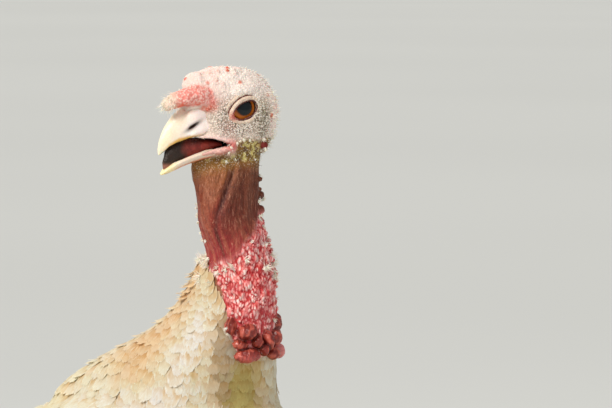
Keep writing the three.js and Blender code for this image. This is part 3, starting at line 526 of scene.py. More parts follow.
def eye_paint():
    """The eye from its pupil's middle outward: pupil, dark ring, orange-brown iris, dark rim."""
    paint = Paint("eye")
    x, y, away = paint.parts("Gaze")
    reach = paint.maths("MAXIMUM", away, 0.01)
    spread = paint.combined(paint.maths("DIVIDE", x, reach), paint.maths("DIVIDE", y, reach),
                            paint.times(away, 0.12))
    ringed = paint.maths("ADD", away, paint.span(paint.noise(0.16, 3, 0.6, spread), 0.3, 0.7, -0.12, 0.12))
    ramp = paint.nodes.new("ShaderNodeValToRGB")
    stops = [(0.0, (12, 22, 26)), (0.52, (10, 16, 20)), (0.56, (60, 28, 12)), (0.66, (170, 88, 22)),
             (0.78, (190, 106, 30)), (0.88, (120, 52, 20)), (0.96, (42, 16, 12))]
    elements = ramp.color_ramp.elements
    while len(elements) < len(stops):
        elements.new(0.5)
    for element, (place, colour) in zip(elements, stops):
        element.position = place
        element.color = (*tone(*colour), 1.0)
    paint.set(ramp, 0, paint.times(ringed, 0.1))
    paint.surface(Base_Color=ramp.outputs[0], Roughness=0.6, Specular_IOR_Level=0.0, Coat_Weight=1.0,
                  Coat_Roughness=0.02, Coat_IOR=1.36)
    return paint.material


def cloudy_paint(name, size, detail, reach, colours, **values):
    """A paint of two tones in soft clouds."""
    paint = Paint(name)
    cloud = paint.span(paint.noise(size, detail), *reach)
    paint.surface(Base_Color=paint.mixed(cloud, tone(*colours[0]), colours[1]), **values)
    return paint.material


def bristle_paint(name, colour, dark):
    return cloudy_paint(name, 0.003, 2, (0.35, 0.7), (dark, colour), Roughness=0.6, Subsurface_Weight=0.1,
                        Subsurface_Scale=0.001)


# ---------------------------------------------------------------- body, neck and head forms
# By s: n of the back, n of the belly, half width, to the tips of the coat.
BODY = [
    [-166, -35, -62, 12], [-158, 0, -85, 46], [-138, 48, -103, 70], [-105, 88, -115, 91],
    [-60, 114, -119, 103], [-10, 124, -113, 105], [50, 127, -94, 99], [100, 122, -64, 86],
    [150, 112, -20, 67], [205, 97, 33, 45], [260, 85, 50, 35], [340, 76, 57, 30],
]
# By height: y of the axis, reach to the front and to the back, half width, to the tips of the coat.
COLLAR = [
    [352, -60, 74, 100, 74], [385, -66, 60, 128, 65], [405, -70, 43, 139, 58],
    [415, -72, 34.5, 135, 55], [426, -75, 31, 122, 52], [441, -80, 28, 99, 47],
    [460, -88, 21, 69, 37.5], [474, -92, 18, 54, 30.5], [487, -95, 16, 45, 26.5],
    [500, -96, 16, 38, 24], [514, -95, 16, 31, 22], [526, -94, 14, 23, 18.5],
]
# By height: x, y, heading of the front, reach to the front, to the back and to each side.
NECK = [
    [405, 0, -84, 270, 22, 26, 26], [425, 0, -88, 270, 24, 26, 26], [450, 0, -92.5, 270, 24.5, 24, 25],
    [487, 0, -97, 264, 22, 22, 22], [513, -1, -95, 238, 22, 20, 21], [540, -4.6, -90.1, 200, 27, 18, 20.6],
    [557, -3.3, -91.9, 176, 31, 16, 18.5], [573, -1.2, -93.5, 162, 34, 14, 16.5],
    [596, -0.6, -94.2, 160, 33, 15, 16.5],
]
# By f: u of the crown, u of the throat, half width, u of the greatest width.
HEAD = [
    [-29, 2, -9, 5, -3], [-27.3, 10, -18, 11, -2], [-21.5, 20, -28, 16, -2], [-11, 26, -36, 19, -3],
    [0, 28, -39, 18, -4], [11, 28.3, -38.5, 16.5, -5], [19, 27.5, -37, 15.3, -6],
    [26, 25, -35.5, 14, -8], [32, 20.5, -33, 12.2, -8], [36, 14.5, -22, 10, -3], [38.5, 8, -4, 6.5, 2],
]
BODY_COAT = 7.0  # depth of the coat over the torso
BODY_VOXEL, HEAD_VOXEL, LEG_VOXEL = 4.0, 0.62, 1.25  # how finely each part of the skin is made
SKIN_EDGE = (-117, 441.5, 63 * DEG)  # y, z and slope of the line where bare skin meets the feathers


def body_frame(x, s, n):
    """Points of the bird's frame from x, s tailward and n backward-up of the body's middle."""
    x, s, n = (np.asarray(value, float)[..., None] for value in (x, s, n))
    return BODY_ORIGIN + x * LEFT + s * TAILWARD + n * BACK_UP


def tailward_and_up(points):
    """How far tailward and how far backward-up of the body's middle points lie."""
    away = points - BODY_ORIGIN
    return away @ TAILWARD, away @ BACK_UP


def torso_form(inset):
    """The torso, drawn in towards its middle by the coat's depth."""
    s = np.concatenate([np.linspace(-166, -138, 12), np.linspace(-132, 256, 48)])[:, None]
    back, belly, half = np.moveaxis(station_at(BODY, s), -1, 0)
    turn = circle(72)[None]
    n = (back + belly) / 2 + np.cos(turn) * ((back - belly) / 2)
    rings = body_frame(half * np.sin(turn), s + 0 * turn, n)
    away = rings - body_frame(0, -10.0, 5.0)
    lengths = np.linalg.norm(away, axis=-1, keepdims=True)
    return loft(rings + unit(away) * np.maximum(-inset, -0.8 * lengths))


def collar_coat(z):
    """Depth of the coat on the collar, which thins out to the bare skin."""
    return mix(2.0, BODY_COAT, ease(480, 385, z))


def collar_form():
    """The breast and the foot of the neck, where the feathers narrow to the bare skin."""
    z = np.concatenate([np.linspace(340, 405, 14), np.linspace(409, 513, 34)])
    y, front, back, half = station_at(COLLAR, z).T
    coat = collar_coat(z)
    centres = np.column_stack([0 * z, y, z])
    return loft(ovals(centres, LEFT, BACKWARD, half - coat, back - coat, front - coat, 64))


def neck_axes(z):
    """The neck's middle, its directions ahead and aside, and its reaches, by height."""
    x, y, heading, front, back, half = np.moveaxis(station_at(NECK, z), -1, 0)
    forward = np.stack([np.cos(heading * DEG), np.sin(heading * DEG), 0 * heading], -1)
    side = np.stack([-forward[..., 1], forward[..., 0], 0 * heading], -1)
    return np.stack([x, y, z], -1), forward, side, front, back, half


def neck_point(z, turn, out=0.0):
    """Points of the bare neck at heights and turns from its front, anticlockwise from above."""
    z = np.asarray(z, float) + 0 * np.asarray(turn, float)
    turn = np.asarray(turn, float) + 0 * z
    middle, forward, side, front, back, half = neck_axes(z)
    ahead, aside = np.cos(turn), np.sin(turn)
    reach = np.where(ahead > 0, front, back) + out
    fold = np.where((front > 26) & (ahead > 0), 0.3 * ahead * np.minimum((front - 26) / 6, 1), 0)
    across = (half * (1 - fold) + out) * aside
    return middle + forward * (reach * ahead)[..., None] + side * across[..., None]


def skin_line(points):
    """How far points lie above the slanting edge where the feathers end and bare skin starts."""
    y, z, slope = SKIN_EDGE
    return -(points[..., 1] - y) * math.sin(slope) + (points[..., 2] - z) * math.cos(slope)


def neck_azimuth(points):
    """The heading, in degrees from +X, of points about the neck's axis: 90 to 450."""
    z = np.clip(points[..., 2], 405, 596)
    middle, *_ = neck_axes(z)
    away = points - middle
    return (np.arctan2(away[..., 1], away[..., 0]) / DEG - 90) % 360 + 90


def neck_spot(z, azimuth, out=0.0):
    """A point of the bare neck at a height and a heading from its axis."""
    heading = station_at(NECK, np.asarray(z, float))[..., 2]
    return neck_point(z, (azimuth - heading) * DEG, out)


def neck_form():
    """The bare neck, drawn in to its axis where it goes under the feathers."""
    z, turn = np.linspace(405, 596, 110)[:, None], circle(72)[None]
    rings = neck_point(z + 0 * turn, turn + 0 * z)
    axis = rings.mean(1, keepdims=True)
    hidden = np.maximum(ease(1, -9, skin_line(rings)), ease(452, 443, rings[..., 2]))[..., None]
    return loft(mix(rings, mix(rings, axis, 0.5), hidden))


def head_form():
    """The head from the back of the skull to the root of the beak."""
    f = np.linspace(-29, 38.5, 60)
    crown, throat, half, widest = station_at(HEAD, f).T
    centres = np.column_stack([f, 0 * f, widest])
    rings = ovals(centres, [0, 1, 0], UP, half, crown - widest, widest - throat, 64)
    beside_beak = ease(17, 30, rings[..., 0]) * ease(5, -4, rings[..., 2])
    rings[..., 1] *= 1 - 0.42 * beside_beak
    return loft(in_head(rings))


# The snood: f, l, u, radius from the forehead to its tip.
SNOOD = [
    [14, 3.5, 6, 4.0], [20, 5, 8, 4.6], [28, 9, 9.8, 5.4], [36, 9, 10.1, 5.8],
    [43, 7.4, 8.4, 5.4], [49, 5.4, 5.8, 4.7], [54, 3.4, 2.6, 3.0],
]


def snood_path():
    """The snood's middle line, with its radius."""
    rows = np.array(SNOOD, float)
    return np.column_stack([in_head(rows[:, :3]), rows[:, 3]])


# The eye: its middle's distance to the side, its half sizes and the lids' opening, front corner low.
EYE_L = 9.6
EYE_HALVES = np.array([11.2, 8.2, 10.4])
OPEN_LONG, OPEN_HIGH, OPEN_TILT = 9.2, 5.3, 24 * DEG
EYE_ALONG = np.array([math.cos(OPEN_TILT), 0, -math.sin(OPEN_TILT)])
EYE_HIGH = np.array([math.sin(OPEN_TILT), 0, math.cos(OPEN_TILT)])

# The beak halves along their bent middle lines: f, u, half height, half width.
UPPER_BEAK = [
    [23, -5, 9.5, 10.5], [30, -7, 10.8, 10.6], [37, -9.3, 10.2, 9.2], [44, -14, 8.2, 7],
    [50, -19.6, 5.5, 4.6], [54, -25, 2.8, 2.3], [56, -29, 0.7, 0.6],
]
LOWER_BEAK = [
    [19, -28.6, 3.5, 12.2], [26, -29.8, 3.4, 11.2], [34, -32, 3.3, 9.6], [42, -35, 3, 7.4],
    [49, -38.8, 2.3, 4.4], [54.5, -42, 0.8, 1.1],
]


def beak_form(table, flat_side, out=0.0):
    """A beak half; flat_side is +1 where its underside is flat and -1 where its top is."""
    rows = np.array(table, float)
    path = np.column_stack([rows[:, 0], 0 * rows[:, 0], rows[:, 1], rows[:, 2:]])
    values, tangents = path_points(path, 48)
    top = unit(np.column_stack([-tangents[:, 2], 0 * tangents[:, 0], tangents[:, 0]]))
    high, half = values[:, 3], values[:, 4]
    centres = values[:, :3] - top * (flat_side * high * 0.55)[:, None]
    big, small = high * 1.55 + out, high * 0.45 + out
    rise, fall = (big, small) if flat_side > 0 else (small, big)
    rings = ovals(centres, np.array([0.0, 1, 0]), top, half + out, rise, fall)
    return loft(in_head(rings))


def gape_form():
    """The wedge between the jaws."""
    def bow(a, b, c):
        t = np.linspace(0, 1, 10)[:, None]
        return (1 - t) ** 2 * np.array(a) + 2 * t * (1 - t) * np.array(b) + t**2 * np.array(c)
    upper = bow((8.5, -23.4), (15, -18.6), (28, -18))
    lower = bow((42, -32.5), (28, -26.2), (8.5, -23.4))[:-1]
    outline = np.vstack([upper, [[75, -18], [75, -50]], lower])
    rings = [np.column_stack([outline[:, 0], 0 * outline[:, 0] + l, outline[:, 1]]) for l in (-30, 30)]
    return loft(in_head(np.array(rings)))


def mouth_hollows():
    """The hollow of the mouth, down both jaws."""
    return [
        head_ball((19, 0, -22.6), (17, 10, 4.2), 0.12),
        head_ball((31, 0, -27), (20, 7.4, 3.7), 0.34),
        head_ball((34, 0, -20), (15, 6.6, 6), 0.4),
    ]


def eye_shaft(side):
    """The opening between the lids."""
    steps = np.array([0.0, 20.0])
    centres = np.column_stack([0 * steps, side * (EYE_L + steps), 0 * steps])
    grow = np.array([1.0, 1.1])
    rings = ovals(centres, EYE_ALONG, EYE_HIGH, OPEN_LONG * grow, OPEN_HIGH * grow, OPEN_HIGH * grow, 36)
    return loft(in_head(rings))


# Major caruncles hung round the front of the neck's foot: height, heading, how far out, half
# width, half depth, half height, slant in degrees.
MAJOR_BULBS = [
    [469, 205, 0.8, 3.8, 4.4, 5.4, 0], [465, 234, 1.6, 6.6, 5.2, 5.0, 12],
    [457, 224, 1.8, 5.4, 4.6, 3.4, -8], [449.5, 236, 2.6, 9.4, 5.8, 4.8, 3],
    [459, 270, 2.2, 3.6, 5.0, 6.8, 6], [469, 309, 0.8, 4.4, 4.0, 5.4, 0],
    [450.5, 309, 2.4, 5.2, 5.2, 5.2, 0], [453, 262, 2.4, 3.8, 4.8, 4.4, -10],
    [460, 293, 1.8, 4.4, 4.6, 5.4, 0], [459, 251, 1.8, 3.6, 4.6, 4.6, 0],
    [450, 284, 2.6, 5.0, 5.0, 4.4, 8], [450, 332, 2.2, 6.6, 5.4, 5.0, 8],
    [461, 336, 1.6, 6.0, 5.0, 6.0, -14], [470, 345, 0.6, 4.6, 4.2, 4.8, 10],
    [452, 352, 1.6, 5.0, 4.8, 4.6, 0], [471, 326, 0.8, 4.6, 4.2, 4.6, 0],
]


def bulb_shapes():
    """The middle, axes and half sizes of each major caruncle."""
    for z, azimuth, out, wide, deep, tall, slant in MAJOR_BULBS:
        middle = neck_spot(z, azimuth, out)
        outward = unit(middle - neck_spot(z, azimuth, out - 6))
        sideways = unit(np.cross(UP, outward))
        first = sideways * math.cos(slant * DEG) + UP * math.sin(slant * DEG)
        yield middle, np.array([first, outward, np.cross(first, outward)]), (wide, deep, tall)


def bulb_shares(points):
    """How far places belong to the major caruncles, and to the creases between them."""
    first = np.full(len(points), 9.0)
    second = first.copy()
    for middle, axes, halves in bulb_shapes():
        away = np.linalg.norm((points - middle) @ axes.T / halves, axis=1)
        second = np.minimum(second, np.maximum(first, away))
        first = np.minimum(first, away)
    return ease(1.32, 1.12, first), ease(0.42, 0.05, second - first) * ease(0.5, 0.9, first)


def small_folds(rng):
    """Low lumps under the caruncle field and beads along the sides of the neck."""
    forms = []
    for row in range(10):
        for i in range(20):
            z = 476 + row * 7.5 + rng.uniform(-2, 2)
            azimuth = 95 + i * 18 + (row % 2) * 9 + rng.uniform(-5, 5)
            if field_share(z, azimuth) < 0.4:
                continue
            radius = rng.uniform(2.2, 3.4)
            place = neck_spot(z, azimuth, -1.2)
            forms.append(ball(place, (radius, radius, radius * 1.5), around=14, rows=10))
    for azimuth, low in ((303, 496), (318, 492), (338, 500)):
        for z in np.arange(low, 566, 8.5):
            radius = rng.uniform(1.7, 2.8)
            place = neck_spot(z + rng.uniform(-2, 2), azimuth + rng.uniform(-5, 5), 1.1)
            forms.append(ball(place, (radius, radius, radius), around=14, rows=10))
    return forms


def field_share(z, azimuth):
    """How far a place on the neck belongs to the bright caruncle field: 0 outside, 1 inside.
    Its upper border slants up from the bird's right round its front to its left."""
    a = (np.asarray(azimuth, float) - 90) % 360 + 90
    border = np.interp(a, [90, 130, 169, 213, 228, 264, 300, 330, 400, 450],
                       [503, 505, 508, 514, 519, 533, 546, 545, 518, 503])
    return ease(border + 3.5, border - 3.5, z)


# ---------------------------------------------------------------- skin
# The nostril: the swollen flap over it, and its slanting slit. f, u, l.
NOSTRIL = (34, -8, 9.4)


def nostril_flap(side, out=0.0):
    f, u, l = NOSTRIL
    return head_ball((f - 2.6, side * (l - 3.4), u + 3.6), np.array([9.6, 5.0, 6.8]) + out, 0.5)


# The lips from the corner of the mouth to the horn of the beak: f, l, u, radius.
UPPER_LIP = [
    [9.0, 15.6, -22.2, 1.6], [16, 13.6, -19.3, 1.7], [24, 11.0, -18.0, 1.5], [31, 9.6, -18.2, 0.9],
]
LOWER_LIP = [
    [9.0, 15.6, -24.8, 1.7], [15, 13.9, -26.0, 2.0], [22, 12.0, -27.2, 1.8], [29, 10.6, -28.8, 1.1],
]


def lip_path(side, rows):
    rows = np.array(rows, float) * [1, side, 1, 1]
    return np.column_stack([in_head(rows[:, :3]), rows[:, 3]])


def head_and_neck(rng):
    """The bare head and neck as one fine skin, with its mouth and eye openings."""
    forms = [neck_form(), head_form(), head_ball((27.5, 0, 15.5), (9.5, 9.5, 9.5), 0.5),
             limb(snood_path(), 60, HEAD_LEFT)]
    cutters = [gape_form(), *mouth_hollows(), beak_form(UPPER_BEAK, 1, -0.4),
               beak_form(LOWER_BEAK, -1, -0.4)]
    for side in (-1, 1):
        forms += [
            head_ball((-2, side * 12.2, 12.5), (13, 5.5, 5.5), 0.15),
            head_ball((-15.5, side * 14.2, -24), (2.7, 2.4, 2.7)),
            head_ball((9.0, side * 15.0, -23.6), (3.6, 2.4, 4.6), 0.2),
            *(limb(lip_path(side, rows), 30, UP) for rows in (UPPER_LIP, LOWER_LIP)),
        ]
        cutters += [eye_shaft(side), head_ball((0, side * EYE_L, 0), EYE_HALVES + 0.25),
                    head_ball((-15, side * 18.5, -17), (2.2, 2.6, 2.6)), nostril_flap(side, -0.3)]
    forms += [ball(middle, halves, axes, 24, 16) for middle, axes, halves in bulb_shapes()]
    return fused(forms + small_folds(rng), HEAD_VOXEL, cutters)


KNOBS = (4.6, 17)  # size and seed of the knobs on the crown


def line_of_fold(z):
    """Heading of the long fold down the neck, by height."""
    return np.interp(z, [505, 526, 548, 571, 580], [186, 195, 206, 215, 218])


def domes(away, reach):
    """Heights of round bumps by the distance from their middles."""
    return np.maximum(0, 1 - (away / reach) ** 2)


def displaced(points, faces):
    """Folds, papillae and wrinkles raised on the head and neck, their relief, and the long crease."""
    normals = vertex_normals(points, faces)
    flu = from_head(points)
    f, l, u = flu.T
    z = points[:, 2]
    azimuth = neck_azimuth(points)
    on_head = ease(-44, -32, u)
    snood = snood_share(points)
    bare = (1 - mouth_share(flu)) * (1 - snood)
    near_eye = hump(np.hypot(f * 0.8, u), 0, 13) * ease(6, 12, np.abs(l))

    grain = domes(pebbles(points, 1.9, 3)[0], 0.62)
    push = 0.42 * grain * on_head * bare * (1 - 0.5 * near_eye)
    big, _, chance = pebbles(points, *KNOBS)
    crown = np.clip(ease(12, 22, u) + ease(-14, -24, f) * ease(-26, -8, u), 0, 1)
    push += 1.0 * (domes(big, 0.40) * (chance > 0.5)) * crown * on_head * (1 - snood)
    push += 0.30 * layers(points * [1, 1, 1.6], 5.0, 31) * on_head * bare

    neck = (1 - on_head) * (1 - snood)
    field, bulbs, between = neck_markings(points, neck)
    plain = neck * (1 - field)
    arc = azimuth * DEG * 21
    along = np.column_stack([arc, 0 * arc, z * 0.14])
    ridges = 1 - np.abs(layers(along, 5.5, 47, 3))
    push += 0.65 * (ridges - 0.55) * plain
    strings = 1 - np.abs(noise(along * [1, 1, 1.6], 1.7, 53))
    push += 0.45 * (strings - 0.5) * plain
    line = line_of_fold(z)
    crease = hump(azimuth, line, 3.6) * ease(508, 540, z) * ease(584, 572, z)
    push -= 1.0 * crease * plain
    push += 0.5 * hump(azimuth, line + 11, 7) * ease(508, 540, z) * ease(584, 572, z) * plain

    warp = np.stack([noise(points, 5.0, 61 + k) for k in range(3)], -1)
    first, second, _ = pebbles(points * [1, 1, 0.46] + 0.9 * warp, 1.9, 71)
    strand = ease(0.02, 0.5, second - first)
    first, second, _ = pebbles(points * [1, 1, 0.6] + 1.2 * warp, 4.4, 73)
    cord = ease(0.0, 0.45, second - first)
    tight = field * (1 - bulbs)
    push += (0.65 * (strand - 0.5) + 0.9 * (cord - 0.6)) * tight
    push += 0.6 * layers(points, 8, 67, 2) * tight
    upright = np.column_stack([arc, 0 * arc, z * 0.4])
    wrinkle = 1 - 1.3 * np.abs(layers(upright, 1.9, 83, 2))
    push += (0.55 * (wrinkle - 0.6) - 0.9 * between) * bulbs

    bead = domes(pebbles(points, 1.4, 91)[0], 0.6)
    push += 0.5 * bead * snood
    push += 0.4 * noise(points, 3.5, 97) * snood
    relief = (0.65 * strand + 0.35 * cord) * tight + (wrinkle - 0.8 * between) * bulbs
    relief = relief + bead * snood + 0.5 * (1 - field - snood)
    return points + normals * push[:, None], relief, crease * plain


def neck_markings(points, neck):
    """How far places of the neck belong to the caruncle field, to its major caruncles and to the
    creases between those."""
    field = field_share(points[:, 2] + 2.5 * noise(points, 7, 33), neck_azimuth(points)) * neck
    bulbs, between = bulb_shares(points)
    return np.maximum(field, bulbs * neck), bulbs, between


def snood_share(points):
    """How far places belong to the snood."""
    path, _ = path_points(snood_path(), 40)
    away = np.linalg.norm(points[:, None] - path[None, 8:, :3], axis=-1) - path[None, 8:, 3]
    return ease(2.2, 0.4, away.min(1))


def mouth_share(flu):
    """1 inside the mouth, 0 on the face."""
    f, l, u = flu.T
    inside = ((f - 24) / 27) ** 2 + (l / 12.0) ** 2 + ((u + 24 + 0.25 * (f - 24)) / 8.5) ** 2
    return ease(1.12, 0.92, inside)


def along_lip(rows, f, u, width=2.4):
    """How near places are to the line of a lip, given by rows of f first and u last."""
    table = np.array(rows, float).T
    return hump(u - np.interp(f, table[0], table[-1]), 0, width)


def skin_tones(points, relief, crease):
    """The bare skin's markings with painted highlights and shade, how moist it is, how speckled and how
    threaded.
    """
    flu = from_head(points)
    f, l, u = flu.T
    z = points[:, 2]
    azimuth = neck_azimuth(points)
    soft, fine = layers(points, 9, 101), layers(points, 3, 103, 2)
    near = ease(8, 12, np.abs(l))
    ear = ease(-18, -21.5, u + 1.6 * soft) * ease(9, 4, f)
    throat = np.maximum(ease(-26, -31, u + 2 * soft + 0.12 * f) * ease(36, 28, f), ear)
    big, _, spot = pebbles(points, *KNOBS)
    knob = domes(big, 0.46) * (spot > 0.5)
    crown = np.clip(ease(12, 20, u) + ease(-14, -22, f) * ease(-28, -12, u), 0, 1)
    under_snood = hump(f, 25.5, 4.5) * hump(u, 1.5, 2.4) * ease(4, 8, l)
    wart = hump(np.linalg.norm(flu - [-15.5, 15.2, -24], axis=1), 0, 3.2)
    gape = hump(f, 9.5, 5) * hump(u, -23.6, 4.4) * ease(10, 13, np.abs(l))
    upper_lip, lower_lip = (along_lip(np.array(rows)[:, :3], f, u) * ease(6, 9, f)
                            for rows in (UPPER_LIP, LOWER_LIP))
    under_lip = along_lip([(9, -27.0), (15, -28.6), (22, -29.8), (29, -31.0)], f, u, 1.3) * ease(10, 14, f)
    colour = tinted(
        (236, 220, 208),
        ((247, 235, 228), ease(4, 14, u + 4 * soft)),
        ((244, 218, 210), ease(8, 22, f + 5 * soft) * ease(0, 8, u) * 0.7),
        ((236, 160, 146), hump(f, 21, 6) * hump(u, 3, 4) * (0.6 + 0.6 * soft)),
        ((214, 198, 184), hump(f, 14, 10) * hump(u, -7, 9) * 0.8),
        ((226, 176, 168), hump(f, 12, 5) * hump(u, -12, 5) * 0.5),
        ((150, 148, 112), hump(f, -12.5, 5.5) * hump(u, -6, 12) * (0.75 + 0.5 * soft)),
        ((250, 232, 224), ease(-17, -22, f + 2 * soft) * ease(-26, -18, u) * 0.9),
        # The throat's olive-yellow is partly the skin's own tone and partly painted green light reflected
        # from below.
        ((136, 106, 26), throat),
        ((92, 60, 12), throat * ease(0.0, 0.5, layers(points, 2.2, 143, 2)) * 0.95),
        ((230, 216, 134), throat * ease(0.1, 0.45, layers(points, 2.4, 141, 2)) * 0.8),
        ((146, 98, 30), 0.9 * ease(-31, -36, u + 2 * soft)),
        ((230, 98, 62), 1.3 * knob * crown * (0.25 + 0.75 * (spot > 0.68))),
        ((208, 48, 34), hump(f, 22.5, 3.2) * hump(u, 5.5, 3.4) * hump(l, 10, 5) * 1.3),
        ((226, 96, 66), under_snood * (0.9 + 0.8 * fine)),
        ((118, 26, 18), 1.8 * wart),
        ((240, 212, 206), upper_lip * near),
        ((238, 190, 182), lower_lip * near),
        ((206, 104, 78), under_lip * near * 0.8),
        ((204, 92, 84), gape * 0.9))
    speck = np.maximum.reduce([
        np.clip(hump(f, 4, 18) * hump(u, -5, 13) * near * 1.4, 0, 0.86),
        np.clip(1.1 * hump(f, -13, 8) * hump(u, -8, 16), 0, 0.86), 0.24 * ease(6, 14, u) * ease(12, 2, f)])
    speck = speck * (1 - throat) + 0.35 * throat
    speck = speck * (1 - np.clip(2 * wart, 0, 1))
    speck = speck * (1 - np.clip(gape + upper_lip * near + lower_lip * near, 0, 1))

    neck = ease(-31, -41, u + 2 * soft + 0.2 * np.abs(f))
    streak = layers(np.column_stack([azimuth * DEG * 21, 0 * z, z * 0.12]), 4.2, 107, 3)
    # Painted shadow of the head: the upper neck right of the long fold is darkened.
    head_shadow = ease(line_of_fold(z), line_of_fold(z) + 12, azimuth) * ease(330, 300, azimuth)
    brown = tinted(
        (122, 54, 20),
        ((142, 84, 26), ease(556, 576, z) * 0.9),
        ((142, 42, 30), ease(562, 536, z + 6 * soft)),
        ((156, 38, 44), ease(540, 516, z + 6 * soft)),
        ((86, 34, 16), 0.75 * ease(0.0, 0.7, streak)),
        ((190, 122, 88), ease(0.1, 0.7, -streak) * 0.32),
        ((90, 36, 16), 0.75 * head_shadow * ease(520, 545, z)),
        # Painted shade: the long crease down the neck is darkened.
        ((70, 26, 22), 0.7 * crease))
    field, bulbs, between = neck_markings(points, neck)
    # Caruncle field, by relief: the raised cords turn pink, partly the field's own colour and partly
    # painted highlight, and near-white as painted highlights; the deep red left in the grooves is painted
    # shade.
    red = tinted(
        (194, 38, 44),
        ((252, 160, 158), ease(0.12, 0.55, relief)),
        ((255, 230, 226), ease(0.5, 0.85, relief + 0.35 * fine) * 0.95),
        ((190, 56, 68), ease(0.1, 0.8, layers(points, 9, 109)) * 0.45))
    # Major caruncles: the raised wrinkles are lightened and a pale pink spot at heading 309 is laid on, as
    # painted highlights; the creases between them are darkened as painted shade.
    dusky = tinted(
        (122, 40, 34),
        ((190, 92, 76), ease(0.3, 0.95, relief)),
        ((140, 64, 44), ease(0.0, 0.8, soft) * 0.6),
        ((196, 92, 88), hump(azimuth, 236, 22) * hump(z, 447, 3.5) * 0.6),
        ((240, 150, 150), hump(azimuth, 309, 14) * hump(z, 451, 7) * 0.8),
        ((74, 24, 24), between * 0.8))
    snood = snood_share(points)
    # Snood: the bead tops are lightened by relief as painted highlights.
    pink = tinted(
        (236, 138, 128),
        ((252, 204, 194), ease(0.0, 0.6, relief)),
        ((228, 92, 58), ease(6, 2, u - 0.1 * (f - 36) + 2 * fine) * ease(54, 45, f) * 0.7),
        ((238, 222, 202), ease(44, 54, f) * 0.9),
        ((214, 58, 44), ease(27, 20, f) * ease(0.3, 0.8, relief)))
    mouth = mouth_share(flu)
    # Mouth lining: dark red, with near-black painted shade in the back of the mouth and under the palate.
    lining_and_shade = tinted((84, 22, 20), ((120, 46, 38), ease(10, 40, f)),
                    ((20, 9, 9), np.maximum(ease(26, 14, f), ease(-24, -20, u))))
    for kind, share in ((brown, neck), (red, field), (dusky, bulbs), (pink, snood), (lining_and_shade, mouth)):
        colour = blend(colour, kind, share)
    moist = np.clip(mouth + 0.45 * gape + 0.35 * field + 0.15 * bulbs + 0.14 * neck + 0.2 * snood, 0, 1)
    speck = np.clip(speck * (1 - neck) * (1 - snood) * (1 - mouth), 0, 1)
    return colour, moist, speck, neck * (1 - bulbs) * (1 - mouth)


# The eyelids' rolled folds: distance out from the opening, width, thickness, lift, colour.
LID_FOLDS = [
    (0.35, 0.8, 0.6, 0.15, (92, 30, 24)), (1.9, 1.5, 1.2, 0.35, (236, 214, 194)),
    (3.7, 0.5, 0.5, 0.25, (110, 52, 40)), (5.0, 1.3, 0.9, 0.0, (222, 204, 186)),
]


def lid_rings(side):
    """The lids as rolled rims about the eye's opening, one fold round another."""
    forms, tones = [], []
    turn, swing = circle(96), circle(14)
    grid = np.arange(96 * 14).reshape(96, 14)
    right = np.roll(grid, -1, 1)
    quads = np.stack([grid, right, np.roll(right, -1, 0), np.roll(grid, -1, 0)], -1).reshape(-1, 4)
    for away, wide, thick, lift, colour in LID_FOLDS:
        grow = 1 + 0.07 * np.sin(3 * turn + away)
        grow = grow + 0.05 * np.sin(17 * turn + 2 * away) + 0.05 * np.sin(29 * turn)
        low = np.where(np.sin(turn) < 0, 1 + 0.03 * away, 1.0)
        along = (OPEN_LONG + away) * np.cos(turn) * (1 + 0.05 * (np.cos(turn) > 0) * np.cos(turn) ** 8)
        high = (OPEN_HIGH + away) * np.sin(turn) * low
        centre = along[:, None] * EYE_ALONG + high[:, None] * EYE_HIGH
        share = 1 - (centre[:, 0] / (EYE_HALVES[0] + 6)) ** 2 - (centre[:, 2] / (EYE_HALVES[2] + 6)) ** 2
        depth = EYE_L + lift + (EYE_HALVES[1] + 0.3) * np.sqrt(np.maximum(share, 0.05)) ** 0.8
        centre[:, 1] = side * depth
        outward = unit(centre * [1, 0, 1])
        tiltwise = unit(outward * 0.9 + np.array([0, -side * 0.45, 0]))
        lifted = np.cross(tiltwise, unit(np.gradient(centre, axis=0)))
        lifted = lifted * np.sign(lifted[:, 1:2] * side)
        width = (wide * grow)[:, None, None]
        rim = centre[:, None] + width * np.cos(swing)[None, :, None] * tiltwise[:, None]
        rim = rim + thick * np.sin(swing)[None, :, None] * lifted[:, None]
        forms.append((in_head(rim).reshape(-1, 3), [quads[:, ::side]]))
        tones.append(np.tile(tone(*colour), (grid.size, 1)))
    points, faces = joined(forms)
    push = 0.26 * layers(points, 2.2, 131) + 0.1 * noise(points, 0.8, 135)
    points = points + unit(points - in_head((0, 0, 0))) * push[:, None]
    mottle = 1 + 0.12 * layers(points, 2.5, 133) + 0.1 * noise(points, 0.7, 137)
    colour = np.vstack(tones) * mottle[:, None]
    flu = from_head(points)
    corner = hump(flu @ EYE_ALONG, OPEN_LONG + 1, 3.2) * hump(flu @ EYE_HIGH, 0, 3)
    return points, faces, tinted(colour, ((206, 104, 92), corner))


# ---------------------------------------------------------------- legs
HIP = 58.0
THIGH = [
    [HIP - 4, -36, 262, 35], [HIP, -24, 234, 38], [HIP + 2, -2, 202, 32],
    [HIP + 1, 18, 170, 21], [HIP, 31, 146, 12.5], [HIP, 36, 134, 9.5],
]
SHANK = [
    [HIP, 37, 150, 7.0], [HIP, 37.5, 138, 8.6], [HIP, 39, 126, 9.4], [HIP, 35, 108, 6.6],
    [HIP, 27, 72, 5.9], [HIP, 19, 36, 6.2], [HIP, 14, 14, 8.4],
]
FOOT_MIDDLE = np.array([HIP, 13.0, 0.0])
TOE_START = 6.0  # from the foot's middle
FLOOR_GAP = 0.05  # the least height over the floor
# Toes: heading in degrees out from straight ahead, length, radius, claw length, number of joints.
TOES = {
    "inner": (-36, 52, 5.4, 13, 2), "middle": (2, 72, 5.9, 14, 3),
    "outer": (40, 54, 5.4, 12, 3), "hind": (186, 27, 4.4, 11, 1),
}


def mirrored(rows, side):
    """Stations of the left side's limb for the given side."""
    return [[side * row[0], *row[1:]] for row in rows]


